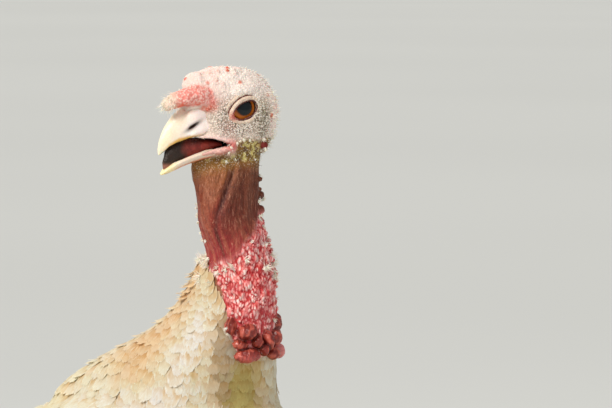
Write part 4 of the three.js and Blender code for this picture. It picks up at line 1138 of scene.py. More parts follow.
def toe_frame(side, heading):
    """The direction a toe points in, and the one across it."""
    ahead = np.array([side * math.sin(heading * DEG), -math.cos(heading * DEG), 0.0])
    return ahead, np.array([-ahead[1], ahead[0], 0.0])


def thigh_form(side):
    """A thigh, drawn in by the coat's depth."""
    rows = [[x, y, z, r - mix(2.0, BODY_COAT, ease(12, 36, r))] for x, y, z, r in mirrored(THIGH, side)]
    return limb(rows, 40, LEFT)


def foot_middle(side):
    return FOOT_MIDDLE * [side, 1, 1]


def leg_forms(side):
    middle = foot_middle(side)
    forms = [limb(mirrored(SHANK, side), 60, LEFT), ball(middle + [0, 0, 6.6], (10, 11, 6.6))]
    for heading, length, radius, _, joints in TOES.values():
        ahead, across = toe_frame(side, heading)
        share = np.linspace(0, 1, 40)
        pads = 1 + 0.10 * np.cos(2 * math.pi * (share * (joints + 0.5)))
        size = radius * mix(1.0, 0.74, share) * pads * np.where(share > 0.97, 0.8, 1)
        centre = middle + ahead * mix(TOE_START, length - 0.2, share)[:, None]
        centre[:, 2] = size * 0.93
        forms.append(loft(ovals(centre, across, UP, size, size * 1.02, size * 0.93, 28)))
    return forms


def grooves(band):
    """0 in the middle of each groove of a banding and 1 between two."""
    return 1 - np.abs((band % 1) - 0.5) * 2


def leg_skin(side):
    """A shank, foot and toes in one skin, with scutes in front and on the toes."""
    points, faces = fused(leg_forms(side), LEG_VOXEL, smooth=1)
    z = points[:, 2]
    line = station_at([[row[2], row[1]] for row in SHANK[::-1]], z)[:, 0]
    front = ease(1.0, 4.0, line - points[:, 1])
    shank = ease(22, 34, z)
    groove = grooves((z + 0.8 * np.abs(points[:, 0] - side * HIP)) / 6.4)
    push = -0.75 * ease(0.25, 0.0, groove) * front * shank
    toe_band, toe_on = np.zeros((2, len(points)))
    away = points - foot_middle(side)
    for heading, _, radius, _, _ in TOES.values():
        ahead, across = toe_frame(side, heading)
        run, off = away @ ahead, np.abs(away @ across)
        on = ease(radius * 1.6, radius * 1.1, off) * ease(6, 12, run) * ease(1.5, 4, z)
        toe_band = np.where(on > toe_on, run / 3.9, toe_band)
        toe_on = np.maximum(toe_on, on)
    toe_groove = grooves(toe_band)
    push -= 0.55 * ease(0.3, 0.0, toe_groove) * toe_on * (1 - shank)
    first, second, _ = pebbles(points, 2.6, 201)
    mesh_scales = np.clip(1 - front * shank - toe_on * (1 - shank), 0, 1)
    push -= 0.45 * ease(0.22, 0.02, second - first) * mesh_scales * ease(1.0, 3.0, z)
    # Painted shade: the skin is darkened where it is pushed in, in the grooves between the scutes and the
    # scales.
    colour = tinted(
        (214, 164, 146),
        ((196, 134, 118), ease(0.0, 0.8, layers(points, 12, 205))),
        ((150, 96, 84), ease(-0.05, -0.6, push) * 0.8),
        ((226, 188, 166), ease(0.4, 0.9, np.maximum(groove * front, toe_groove * toe_on)) * 0.5))
    moved = points + vertex_normals(points, faces) * push[:, None]
    moved[:, 2] = np.maximum(moved[:, 2], FLOOR_GAP)
    return moved, faces, colour


# ---------------------------------------------------------------- the one skin
def body_forms():
    """What the feathers of the body, the thighs and the neck's foot grow from."""
    arms = [wing_arm(side, -BODY_COAT * 0.55) for side in (1, -1)]
    return [torso_form(BODY_COAT), collar_form(), thigh_form(1), thigh_form(-1), *arms]


# The folded wing lies on a shell along the body's side. By s: n of its widest line, half width,
# half height.
SHELL = [
    [-166, -48, 12, 14], [-158, -42, 46, 43], [-138, -27.5, 70, 75.5], [-105, -13.5, 91, 101.5],
    [-60, -2.5, 103, 116.5], [-10, 5.5, 105, 118.5], [50, 17, 99.5, 111], [100, 28, 90, 98],
    [150, 40, 76, 88], [205, 52, 61, 76], [290, 66, 45, 62],
]
# The wing's arm, by s: a of its lower edge, a of its upper edge, greatest thickness.
WING_ARM = [
    [-134, -4, 30, 4], [-124, -24, 36, 10], [-100, -44, 56, 14.5], [-60, -54, 68, 14],
    [-25, -58, 74, 11.5], [0, -58, 76, 7.5], [18, -52, 70, 3.6], [34, -44, 46, 2.6],
]


def on_side(side, s, a, out):
    """Points beside the body: s along it, a up round the shell in mm from its widest line."""
    s, a, out = np.broadcast_arrays(np.asarray(s, float), np.asarray(a, float), np.asarray(out, float))

    def at(s1, a1):
        level, half, high = np.moveaxis(station_at(SHELL, s1), -1, 0)
        turn = 2 * a1 / (half + high)
        return body_frame(side * half * np.cos(turn), s1, level + high * np.sin(turn))
    along = at(s + 0.5, a) - at(s - 0.5, a)
    upward = at(s, a + 0.5) - at(s, a - 0.5)
    return at(s, a) + unit(np.cross(along, upward)) * (side * out)[..., None]


def wing_arm(side, out):
    """The folded wing's arm, domed over the shell and grown out by the given depth."""
    s = np.linspace(-134, 34, 44)
    low, high, thick = station_at(WING_ARM, s).T
    share = np.linspace(0, 1, 24)
    dome = np.sqrt(np.maximum(1 - (2 * share - 1) ** 2, 0))
    a = mix(low[:, None] - out, high[:, None] + out, share[None])
    upper = on_side(side, s[:, None], a, mix(2 + out * 0.3, (thick + out)[:, None], dome[None]))
    under = on_side(side, s[:, None], a[:, ::-1], -6.0 + 0 * a)
    return loft(np.concatenate([upper, under], axis=1))


def build_skin(body):
    """Everything of flesh in one mesh: body, neck, head, snood, legs and feet."""
    fine, faces = head_and_neck(np.random.default_rng(11))
    fine, relief, crease = displaced(fine, faces)
    parts = [(fine, faces, *skin_tones(fine, relief, crease))]
    # The feathered skin's tone; it darkens towards the bare neck as a painted shadow line under the
    # feathers' edge.
    down = tinted((218, 184, 136), ((196, 158, 106), 0.5 + 0.5 * layers(body[0], 20, 7)),
                  ((150, 92, 62), ease(428, 462, body[0][:, 2])))
    parts.append((*body, down, *np.zeros((3, len(down)))))
    for side in (1, -1):
        for (points, faces, colour), wet, speck in ((leg_skin(side), 0.1, 0), (lid_rings(side), 0.3, 0.18)):
            plain = np.ones(len(points))
            parts.append((points, faces, colour, wet * plain, speck * plain, 0 * plain))
    points, faces = joined([part[:2] for part in parts])
    fields = {name: np.concatenate([part[k] for part in parts])
              for k, name in enumerate(("Tone", "Wet", "Speck", "Strand"), 2)}
    legs = [f"{part}_{side}" for side in ("left", "right") for part in ("thigh", "shank", "foot")]
    toes = [f"toe_{side}_{toe}" for side in ("left", "right") for toe in TOES]
    flesh = ("torso", "neck_base", "neck_lower", "neck_upper", "head", "snood", *legs, *toes)
    return add_piece("skin", points, faces, skin_paint(), "head_skin", flesh, **fields)


# ---------------------------------------------------------------- beak, tongue, eyes, claws
def horn_piece(name, points, faces, colour, material, node):
    return add_piece(name, points, faces, material, "horn", [node], Tone=colour)


def upper_beak(material):
    """The beak's upper half, with the swollen flaps and slits of the nostrils."""
    f, u, l = NOSTRIL
    forms = [beak_form(UPPER_BEAK, 1)]
    cutters = [head_ball((36, 0, -20), (15, 6.2, 5), 0.5), head_ball((43, 0, -21.0), (13, 4.9, 5.0), 0.8)]
    for side in (-1, 1):
        forms.append(nostril_flap(side))
        forms.append(head_ball((f - 2.5, side * (l - 3.8), u - 5.5), (7.5, 4.4, 3.0), 0.5))
        cutters.append(head_ball((f + 1.2, side * (l + 1.2), u - 2.2), (5.2, 3.4, 1.05), 0.62))
    points, faces = fused(forms, 0.42, cutters)
    f, l, u = from_head(points).T
    points = raised(points, faces, 3, 301, 0.1)
    rim = u - np.interp(f, [23, 30, 37, 44, 50, 54, 56], [-17.6, -18.2, -18.4, -19.8, -23.5, -27.4, -29.8])
    run, off = (f - 35.2) * 0.81 - (u + 10.2) * 0.58, (f - 35.2) * 0.58 + (u + 10.2) * 0.81
    slit = hump(run, 0, 5.4) * hump(off, 0, 1.5)
    # Painted shade: the nostril slits and the inside of the beak under the rim are near-black.
    colour = tinted(
        (240, 228, 206),
        ((255, 243, 238), ease(45, 33, f + 0.5 * (u + 8))),
        ((248, 232, 228), hump(f, 31, 7) * hump(u, -5, 6)),
        ((246, 236, 206), ease(46, 54, f)),
        ((226, 178, 84), ease(3.2, 0.6, rim) * ease(56, 46, f)),
        ((58, 32, 26), 1.3 * slit * ease(6.0, 7.0, np.abs(l))),
        ((54, 30, 20), ease(0.4, -0.4, rim) * ease(7, 4, np.abs(l))))
    horn_piece("beak_top", points, faces, colour, material, "beak_upper")


def lower_beak(material):
    """The beak's lower half, hollow where the tongue lies."""
    hollows = mouth_hollows()[1::-1]
    points, faces = fused([beak_form(LOWER_BEAK, -1)], 0.45, hollows)
    f, l, u = from_head(points).T
    points = raised(points, faces, 3, 305, 0.08)
    rim = u - np.interp(f, [19, 26, 34, 42, 49, 54.5], [-27.0, -28.3, -30.5, -33.7, -37.8, -41.6])
    trough = ease(5.6, 3.6, np.abs(l) + 0.12 * (f - 30)) * ease(-1.5, 0.2, rim + 2) * ease(53, 49, f)
    colour = tinted(
        (232, 214, 196),
        ((214, 120, 76), ease(-1.8, -3.8, rim) * ease(52, 42, f)),
        ((248, 234, 182), ease(42, 51, f)),
        ((150, 62, 54), trough))
    horn_piece("beak_bottom", points, faces, colour, material, "beak_lower")


# The tongue, raised in the open mouth. By f: u of its ridge, u of its root, half width.
TONGUE = [
    [12, -21.0, -25.5, 7.2], [18, -19.6, -26.5, 7.2], [25, -18.8, -28.5, 6.6], [33, -18.2, -31.5, 5.6],
    [40, -19.2, -34.5, 4.4], [46, -21.8, -37.5, 3.4], [50.5, -26.0, -39.5, 2.2], [52.6, -32.0, -38.5, 0.8],
]


def tongue_piece(material):
    f = mix(12.0, 52.6, np.linspace(0, 1, 90) ** 0.9)
    ridge, root, half = station_at(TONGUE, f).T
    centres = np.column_stack([f, 0 * f, (ridge + root) / 2])
    high = (ridge - root) / 2
    points, faces = loft(in_head(ovals(centres, [0, 1, 0], UP, half, high, high, 44)))
    points = raised(points, faces, 3.0, 311, 0.3)
    f, _, u = from_head(points).T
    share = (u - np.interp(f, [row[0] for row in TONGUE], [row[2] for row in TONGUE])) / 11
    # Painted shade: the tongue's upper part darkens towards its root and its front turns near-black, as
    # shade in the mouth.
    colour = tinted(
        (112, 30, 24),
        ((146, 54, 44), 0.5 + layers(points, 5, 313)),
        ((70, 24, 20), ease(0.55, 0.95, share) * ease(44, 30, f)),
        ((40, 24, 15), ease(34.5, 41, f + 3 * noise(points, 5, 317))),
        ((150, 96, 78), ease(-34.0, -36.5, u) * ease(40, 45, f)))
    add_piece("tongue_fine", points, faces, material, "mouth", ["tongue"], Tone=colour,
              Wet=np.full(len(points), 0.35))


PUPIL_AT = np.array([0.9, 2.2])  # where the eye looks: ahead and up from its middle


def eye_piece(side, material):
    """An eyeball with a slightly bulging cornea over the iris."""
    name = "left" if side > 0 else "right"
    lat, lon = np.linspace(0.01, math.pi - 0.01, 90)[:, None], circle(120)[None]
    body = np.stack([np.sin(lat) * np.cos(lon), side * np.cos(lat) + 0 * lon,
                     np.sin(lat) * np.sin(lon)], -1) * EYE_HALVES
    ahead = body[..., 0] - PUPIL_AT[0]
    high = body[..., 2] - PUPIL_AT[1]
    away = np.hypot(ahead, high)
    outer = (body[..., 1] * side > 0) * 1.0
    body[..., 1] += side * 0.5 * outer * ease(7.5, 3.0, away)
    away = np.where(outer > 0, away, 12.0)
    points, faces = loft(in_head(body + np.array([0, side * EYE_L, 0])))
    gaze = np.stack([ahead, high, away], -1).reshape(-1, 3)
    gaze = np.vstack([gaze, gaze[0], gaze[-1]])
    add_piece(f"eyeball_{name}", points, faces, material, "eye", [f"eye_{name}"], Gaze=gaze)


def claws(material):
    """A claw on each toe, bent down to the floor."""
    for side, side_name in ((1, "left"), (-1, "right")):
        for toe, (heading, length, radius, claw, _) in TOES.items():
            ahead, across = toe_frame(side, heading)
            share = np.linspace(0, 1, 26)
            size = mix(radius * 0.5, 0.4, share**0.8)
            centre = foot_middle(side) + ahead * (length - 1.5 + (claw + 1.8) * share)[:, None]
            centre[:, 2] = 0.5 + radius * 0.72 * (1 - share**2) + 0.8 * share
            rings = ovals(centre, across, UP, size, size * 1.15, size * 0.8, 20)
            rings[..., 2] = np.maximum(rings[..., 2], FLOOR_GAP)
            points, faces = loft(rings)
            run = (points - foot_middle(side)) @ ahead
            colour = tinted((206, 186, 156), ((128, 104, 82), ease(length + 2, length + claw, run) * 0.6))
            digit = f"{side_name}_{toe}"
            horn_piece(f"nail_{digit}", points, faces, colour, material, f"claw_{digit}")


# ---------------------------------------------------------------- feathers
# Vane outlines by kind: width at the root and where it is full, width at the tip and where it starts
# to narrow, as shares; and how far the tip's corners draw back, in half widths.
OUTLINES = {
    "flight": (0.45, 0.3, 0.78, 0.8, 1.0),
    "covert": (0.4, 0.4, 0.74, 0.78, 1.1),
    "body": (0.3, 0.5, 0.84, 0.72, 0.62),
}
EVEN = 0.8  # how far the light on a vane follows the coat's surface and not its own
PATCH = 0.003  # width of a feather's patch on the flat map


def vane_rows(rows):
    """Row places along a vane, closer together towards its tip."""
    return np.sin(np.linspace(0, math.pi / 2, rows)) ** 0.9


def coat_piece(name, batches, columns, material, rng, kind="body", dome=0.06, ragged=0.03, shaft=0.0,
               nodes=()):
    """One piece of the coat: closed vanes along their spines. Each batch holds spines, sides, ups,
    widths, lengths, ground tones and places on the flat map. Dome is how far the edges lie below the
    middle in half widths, ragged how uneven the tips are in lengths, shaft the shaft's height."""
    spine, side, up, width, length, ground, place = (np.concatenate(field) for field in zip(*batches))
    count, rows = spine.shape[:2]
    t, u = vane_rows(rows), np.linspace(-1, 1, columns)
    foot, full, tip, narrow, draw_back = OUTLINES[kind]
    half = mix(foot, 1.0, ease(0.0, full, t)) * mix(1.0, tip, ease(narrow, 1.0, t))
    half = half[None] * width[:, None] / 2
    half = np.maximum(half, 0.04 * width[:, None])[..., None]
    length = length[:, None, None]
    wave = rng.normal(0, 1, (count, 1, columns)) * ragged * length
    notch = (rng.random((count, 1, columns)) < 0.2) * rng.uniform(0.3, 1.0, (count, 1, columns))
    wave = wave - notch * ragged * 2.2 * length
    forward = unit(np.gradient(spine, axis=1))
    turned = np.sign((np.cross(side, forward) * up).sum(-1).mean(1))
    side = side * turned[:, None, None]
    t, middle = t[None, :, None], np.abs(u)[None, None]
    reach = ease(0.55, 1.0, t) * wave - ease(0.3, 1.0, t) * (draw_back * half * middle**2.3)
    ripple = 0.012 * half * rng.normal(0, 1, (count, 1, columns)) * t
    rise = -dome * half * middle**2 + ripple + shaft * (middle < 1e-6)
    grid = (spine[:, :, None] + side[:, :, None] * (half * u)[..., None]
            + forward[:, :, None] * reach[..., None] + up[:, :, None] * rise[..., None])
    shy = reach.min(axis=2) - 0.25 * ease(0.5, 1.0, t[..., 0])
    low = rise.min(axis=2) - 0.12
    below = (spine + forward * shy[..., None] + up * low[..., None])[:, :, None]
    below = below + side[:, :, None] * (half * 0.96 * u[[0, -1]])[..., None]
    edge_side = (1 - middle) * half
    edge = np.minimum(edge_side, (1 - t) * length * 1.3 + 0 * edge_side)
    along = t + 0 * edge
    barb = middle * half - along * length * 0.3

    def stacked(field):
        """A field of the top's points, then the same at the two edges for those below."""
        tail = field.shape[3:]
        return np.concatenate([field.reshape(count, -1, *tail),
                               field[:, :, [0, -1]].reshape(count, -1, *tail)], axis=1)
    points = np.concatenate([grid.reshape(count, -1, 3), below.reshape(count, -1, 3)], axis=1)
    points = points.reshape(-1, 3)
    vane = stacked(np.stack([u[None, None] + 0 * edge, along, edge], -1))
    broad = stacked(unit(up[:, :, None] + 0 * grid))
    broad[:, rows * columns:] *= -1
    per = rows * columns + rows * 2
    index = np.arange(per)
    each = np.vstack([strips(index[:rows * columns].reshape(rows, columns), False),
                      strips(index[rows * columns:].reshape(rows, 2)[:, ::-1], False)])
    faces = [(each[None] + (np.arange(count) * per)[:, None, None]).reshape(-1, 4)]
    normals = unit(mix(vertex_normals(points, faces), broad.reshape(-1, 3), EVEN))
    draw = rng.random(count)
    shade = 1 + 0.07 * (rng.random(count) - 0.5)
    colour = np.clip(ground * shade[:, None], 0.001, 0.9)
    flat = place[:, None] + (vane[..., :2] * [0.5, 1.0] + [0.5, 0.0] - 0.5) * PATCH
    return add_piece(name, points, faces, material, "feathers", nodes, normals, flat.reshape(-1, 2),
                     Tone=np.repeat(colour, per, axis=0), Vane=vane.reshape(-1, 3),
                     Barb=stacked(barb).ravel(), Draw=np.repeat(draw, per))


class Form:
    """A surface that feathers grow from and run over."""

    def __init__(self, points, faces):
        self.points, self.normals = points, vertex_normals(points, faces)
        self.tree = BVHTree.FromPolygons(points.tolist(), [face for f in faces for face in f.tolist()])
        self.corners = np.vstack([f if f.shape[1] == 4 else np.column_stack([f, f[:, -1]]) for f in faces])

    def nearest(self, points):
        """The surface's nearest points, and its normals there shared out from the face's corners."""
        found = np.empty_like(points)
        index = np.empty(len(points), int)
        for i, p in enumerate(points):
            found[i], _, index[i], _ = self.tree.find_nearest(Vector(p))
        corners = self.corners[index]
        away = np.linalg.norm(self.points[corners] - found[:, None], axis=2)
        share = 1 / (away**2 + 0.2)
        return found, unit((self.normals[corners] * share[..., None]).sum(1))

    def sample(self, count, rng):
        """Random points spread evenly over the surface."""
        a, b, c, d = (self.points[self.corners[:, k]] for k in range(4))
        area = np.linalg.norm(np.cross(c - a, d - b), axis=1) / 2
        picks = rng.choice(len(area), count, p=area / area.sum())
        u, v = rng.random((2, count, 1))
        return mix(mix(a[picks], b[picks], u), mix(d[picks], c[picks], u), v)


def lie_of(points, normals):
    """The direction the coat lies in: down the neck, tailward along the body, down the thighs."""
    z = points[:, 2]
    neck = ease(385, 440, z)
    leg = ease(215, 165, z) * ease(40, 52, np.abs(points[:, 0])) * ease(60, 40, np.abs(points[:, 1]))
    flank = 0.65 * ease(0.25, 0.9, np.abs(normals[:, 0])) * ease(60, -30, tailward_and_up(points)[0])
    breast = ease(-0.1, 0.9, -(normals @ TAILWARD)) * (1 - neck) * (1 - leg)
    lie = TAILWARD
    for backward, share in ((0.15, flank), (0.0, neck), (0.25, leg), (0.35, breast)):
        lie = mix(lie, -UP + backward * BACKWARD, share[:, None])
    lie = lie + 0.25 * (points * [1, 0, 0] / 120) * (1 - neck[:, None])
    return unit(lie - normals * (lie * normals).sum(-1, keepdims=True))


def thinned(points, spacing):
    """Points kept in order where none kept before is nearer than their spacing."""
    cell = float(np.max(spacing))
    table, kept = {}, []
    steps = [(i - 1, j - 1, k - 1) for i, j, k in np.ndindex(3, 3, 3)]
    for i, p in enumerate(points):
        x, y, z = (int(k) for k in np.floor(p / cell))
        near = [j for a, b, c in steps for j in table.get((x + a, y + b, z + c), ())]
        if not any((points[j] - p) @ (points[j] - p) < min(spacing[i], spacing[j]) ** 2 for j in near):
            kept.append(i)
            table.setdefault((x, y, z), []).append(i)
    return np.array(kept)


BODY_FEATHER, NECK_FEATHER = 7.9, 4.1  # spacing of the coat on the body and at the neck's top
SPACING_CHANGE = (400, 500)  # the heights between which one turns into the other


def feather_size(points):
    """Spacing and size of the coat by place: smallest at the top of the neck."""
    z = points[:, 2]
    base = mix(BODY_FEATHER, NECK_FEATHER, ease(*SPACING_CHANGE, z))
    belly = ease(20, -40, tailward_and_up(points)[1])
    leg = ease(215, 150, z) * ease(40, 50, np.abs(points[:, 0]))
    return base * mix(1.0, 1.08, belly) * mix(1.0, 0.62, leg)


def under_wing(points):
    """True for places of the flanks that the folded wings hide."""
    s, n = tailward_and_up(points)
    level, half, high = station_at(SHELL, s).T
    turn = np.arctan2((n - level) / high, np.abs(points[:, 0]) / half)
    a = turn * (half + high) / 2
    low, top = (np.interp(s, [30, 110, 165], edge) for edge in ([-36, -34, -12], [44, 46, 30]))
    return (s > 30) & (s < 165) & (a > low) & (a < top)


def round_turns(high, half, spacing, row):
    """Turns of roots evenly spaced round an oval, every second row staggered."""
    count = int(2 * math.pi * math.sqrt(((high / 2) ** 2 + half**2) / 2) / spacing)
    return (np.arange(count) + 0.5 * (row % 2)) / count * 2 * math.pi


def regular_roots():
    """Staggered rows of roots round the torso and the collar."""
    roots = []
    for row, s in enumerate(np.arange(-158, 252, 7.2)):
        back, belly, half = station_at(BODY, [s])[0]
        turn = round_turns(back - belly, half, 9.1, row)
        n = (back + belly) / 2 + (back - belly) / 2 * np.cos(turn)
        roots.append(body_frame(half * np.sin(turn), s + 0 * turn, n))
    z, row = 508.0, 0
    while z > 372:
        y, front, back, half = station_at(COLLAR, [z])[0]
        size = float(mix(BODY_FEATHER, NECK_FEATHER, ease(*SPACING_CHANGE, z)))
        turn = round_turns(front + back, half, size * 1.12, row)
        y = y + np.where(np.cos(turn) > 0, back, front) * np.cos(turn)
        roots.append(np.column_stack([half * np.sin(turn), y, z + 0 * turn]))
        z -= size * 0.92
        row += 1
    return np.vstack(roots)


# The breast's tone is yellower than the back's, partly its own and partly painted green light reflected
# from below.
GROUND = {"back": tone(252, 236, 206), "breast": tone(240, 224, 180), "neck": tone(254, 246, 232),
          "belly": tone(246, 234, 208)}


def on_leg(points):
    """True for roots on the thighs."""
    x, y, z = points.T
    return (z < 225) & (np.abs(x) > 34) & (np.abs(y) < 70)


def region_of(points):
    """A name for each root: the coat piece that it goes to."""
    s, n = tailward_and_up(points)
    x, y, z = points.T
    names = np.where(n < 0, "belly", "back").astype(object)
    for name, here in (("side_left", (n >= 0) & (x > 45)), ("side_right", (n >= 0) & (x < -45)),
                       ("breast", (s < -70) & (n < 60) & (y < -60)),
                       ("neck_left", (z > 405) & (x > 0)), ("neck_right", (z > 405) & (x <= 0)),
                       ("thigh_left", on_leg(points) & (x > 0)), ("thigh_right", on_leg(points) & (x < 0))):
        names = np.where(here, name, names)
    return names


def flat_place(points):
    """Each root's place on an unwrap of the body's skin: round it, and along it."""
    s, n = tailward_and_up(points)
    x, y, z = points.T
    side = np.sign(x)
    round_body, round_neck, round_leg = (np.arctan2(*way) / (2 * math.pi)
                                         for way in ((x, n - 5), (x, y + 85), (y - 5, x - side * HIP)))
    u = np.where(z > 405, round_neck + 0.5, round_body + 0.5)
    v = np.where(z > 405, 0.68 + (z - 400) / 130 * 0.3, (s + 170) / 430 * 0.66)
    u = np.where(on_leg(points), 0.5 + side * 0.25 + round_leg * 0.46, u)
    v = np.where(on_leg(points), 0.02 + (z - 120) / 120 * 0.6, v)
    return np.clip(np.column_stack([u, v]), 0.004, 0.996)


SCATTERED = 34000  # roots tried at random between the regular rows
SPINE_ROWS = 7
LOWEST_ROOT, HIGHEST_ROOT = 137, 512


def body_coat(form, rng):
    """The small feathers of the neck, body and thighs: the region of each, and a batch of vanes."""
    rows = regular_roots()
    scattered = form.sample(SCATTERED, rng)
    candidates = np.vstack([rows + rng.normal(0, 0.5, rows.shape), scattered])
    regular = np.arange(len(candidates)) < len(rows)
    places, normals = form.nearest(candidates)
    gap = np.linalg.norm(places - candidates, axis=1)
    z = places[:, 2]
    keep = (~regular | (gap < BODY_COAT + 5)) & (skin_line(places) < 4) & ~under_wing(places)
    keep = keep & (z > LOWEST_ROOT) & (z < HIGHEST_ROOT)
    places, normals, regular = places[keep], normals[keep], regular[keep]
    size = feather_size(places)
    kept = thinned(places, size * np.where(regular, 0.72, 0.92))
    places, normals, size = places[kept], normals[kept], size[kept]
    z, count = places[:, 2], len(size)
    neck = ease(405, 480, z)
    length = size * mix(3.1, 3.0, neck) * rng.uniform(0.92, 1.1, count)
    width = size * mix(1.95, 2.0, neck) * rng.uniform(0.9, 1.12, count)
    depth = np.where(z > 400, collar_coat(z), BODY_COAT)
    depth = mix(depth, 3.0, ease(200, 150, z)) + rng.uniform(-0.15, 0.2, count)
    ridge = ease(34, 18, np.abs(places[:, 0])) * ease(0.3, 0.7, normals[:, 2] + 0.6 * normals[:, 1])
    nape = ease(470, 492, z) * ease(0.2, 0.7, normals[:, 1])
    often = np.maximum.reduce([0.04 + 0 * ridge, 0.6 * nape, 0.16 * ridge])
    lifted = (rng.random(count) < often) * rng.uniform(0.6, 1.6, count) * (1 + 0.8 * ridge + 1.5 * nape)
    t = vane_rows(SPINE_ROWS)
    spine, up = np.empty((2, count, SPINE_ROWS, 3))
    point, normal = places, normals
    drift = rng.normal(0, 0.07, count)
    for k in range(SPINE_ROWS):
        spine[:, k], up[:, k] = point, normal
        if k + 1 < SPINE_ROWS:
            lie = lie_of(point, normal)
            lie = unit(lie + np.cross(normal, lie) * drift[:, None])
            point, normal = form.nearest(point + lie * (length * (t[k + 1] - t[k]))[:, None])
    basis = np.vander(t, 4)  # each spine is drawn along its nearest cubic
    even = basis @ np.linalg.pinv(basis)
    spine, up = (np.einsum("jk,nkc->njc", even, field) for field in (spine, up))
    up = unit(up)
    height = 0.3 + (depth[:, None] - 0.3) * (1 - (1 - t[None]) ** 1.9) + lifted[:, None] * t[None] ** 5
    spine = spine + up * height[..., None]
    forward = unit(np.gradient(spine, axis=1))
    side = unit(np.cross(forward, up))
    side = unit(side + up * rng.normal(0, 0.012, count)[:, None, None])
    up = np.cross(side, forward)
    return region_of(places), (spine, side, up, width, length, coat_tone(places), flat_place(places))


def coat_tone(points):
    """The coat's ground tone by place, with painted green light reflected on the breast's front and a
    painted shadow line down the foot of the neck.
    """
    y, z = points[:, 1], points[:, 2]
    azimuth = neck_azimuth(points)
    soft = layers(points, 34, 401) + 0.4 * layers(points, 11, 405)
    wander = azimuth + 8 * soft
    front = ease(-72, -128, y + 9 * layers(points, 22, 411)) * ease(462, 430, z)
    pale_side = np.maximum(hump(azimuth, 160, 24), hump(azimuth, 380, 24))
    # Painted green light reflected from below, laid as olive on the breast's upper front.
    painted_green_bounce = ease(198, 214, wander) * ease(334, 276, wander) * ease(368, 414, z) * ease(470, 450, z)
    # Heading of a painted shadow line down the foot of the neck, where its side turns to its front.
    line = np.interp(z, [396, 423, 476, 490], [213, 207, 186, 182])
    colour = blend(GROUND["back"], GROUND["belly"], ease(30, -40, tailward_and_up(points)[1]))
    colour = tinted(
        blend(colour, GROUND["neck"], ease(395, 430, z)),
        ((244, 218, 164), 0.42 * ease(-0.15, 0.8, soft)),
        ((255, 251, 240), 0.8 * ease(-0.1, 0.7, layers(points, 24, 409))),
        ((255, 253, 246), 0.8 * pale_side * ease(405, 440, z) * ease(500, 484, z)),
        ((232, 196, 132), 0.5 * hump(azimuth, 118, 20) * ease(430, 455, z)))
    return tinted(
        # The front of the breast is blended to that yellower tone; then the painted green bounce and the
        # painted shadow line are laid on.
        blend(colour, GROUND["breast"], front * (0.6 + 0.3 * layers(points, 16, 413))),
        ((202, 188, 82), 0.7 * painted_green_bounce),
        ((164, 130, 58), 0.55 * hump(azimuth, line, 8) * ease(380, 410, z) * ease(492, 480, z)))


# Rows of a folded wing: count, kind, first and last root (s, a), first and last tip, width,
# heights at root and tip.
WING_ROWS = {
    "secondaries": (16, "flight", [[-30, -42], [22, 60]], [[134, -54], [208, 54]], 27, (3.6, 3.4)),
    "greater": (14, "covert", [[-48, -42], [2, 62]], [[48, -52], [98, 62]], 18, (6.5, 7.6)),
    "median": (15, "covert", [[-70, -40], [-22, 64]], [[6, -50], [54, 66]], 17, (9.0, 11.0)),
}
EDGE_LIFT = 0.10  # how far a vane leans in towards its upper edge, per mm across
PRIMARY_COUNT, PRIMARY_STEP = 9, 6.2  # each primary is a step shorter than the one under it
WRIST, WING_TIP = (0, -30, 2), (280, -2, 1)  # s, a and how far out
QUILL_ROWS = 16


def side_spines(side, root, tip, heights):
    """Spines of vanes that follow the body's side between (s, a) places."""
    t = vane_rows(QUILL_ROWS)[None]
    s, a = (mix(root[:, k:k + 1], tip[:, k:k + 1], t) for k in (0, 1))
    out = mix(*heights, t) + 0 * s
    spine = on_side(side, s, a, out)
    step = (tip - root) / np.linalg.norm(tip - root, axis=1, keepdims=True)
    over = on_side(side, s - step[:, 1:] * 2, a + step[:, :1] * 2, out - 2 * EDGE_LIFT)
    forward = unit(np.gradient(spine, axis=1))
    across = over - spine
    across = unit(across - forward * (across * forward).sum(-1, keepdims=True))
    return spine, across, np.cross(across, forward) * -side


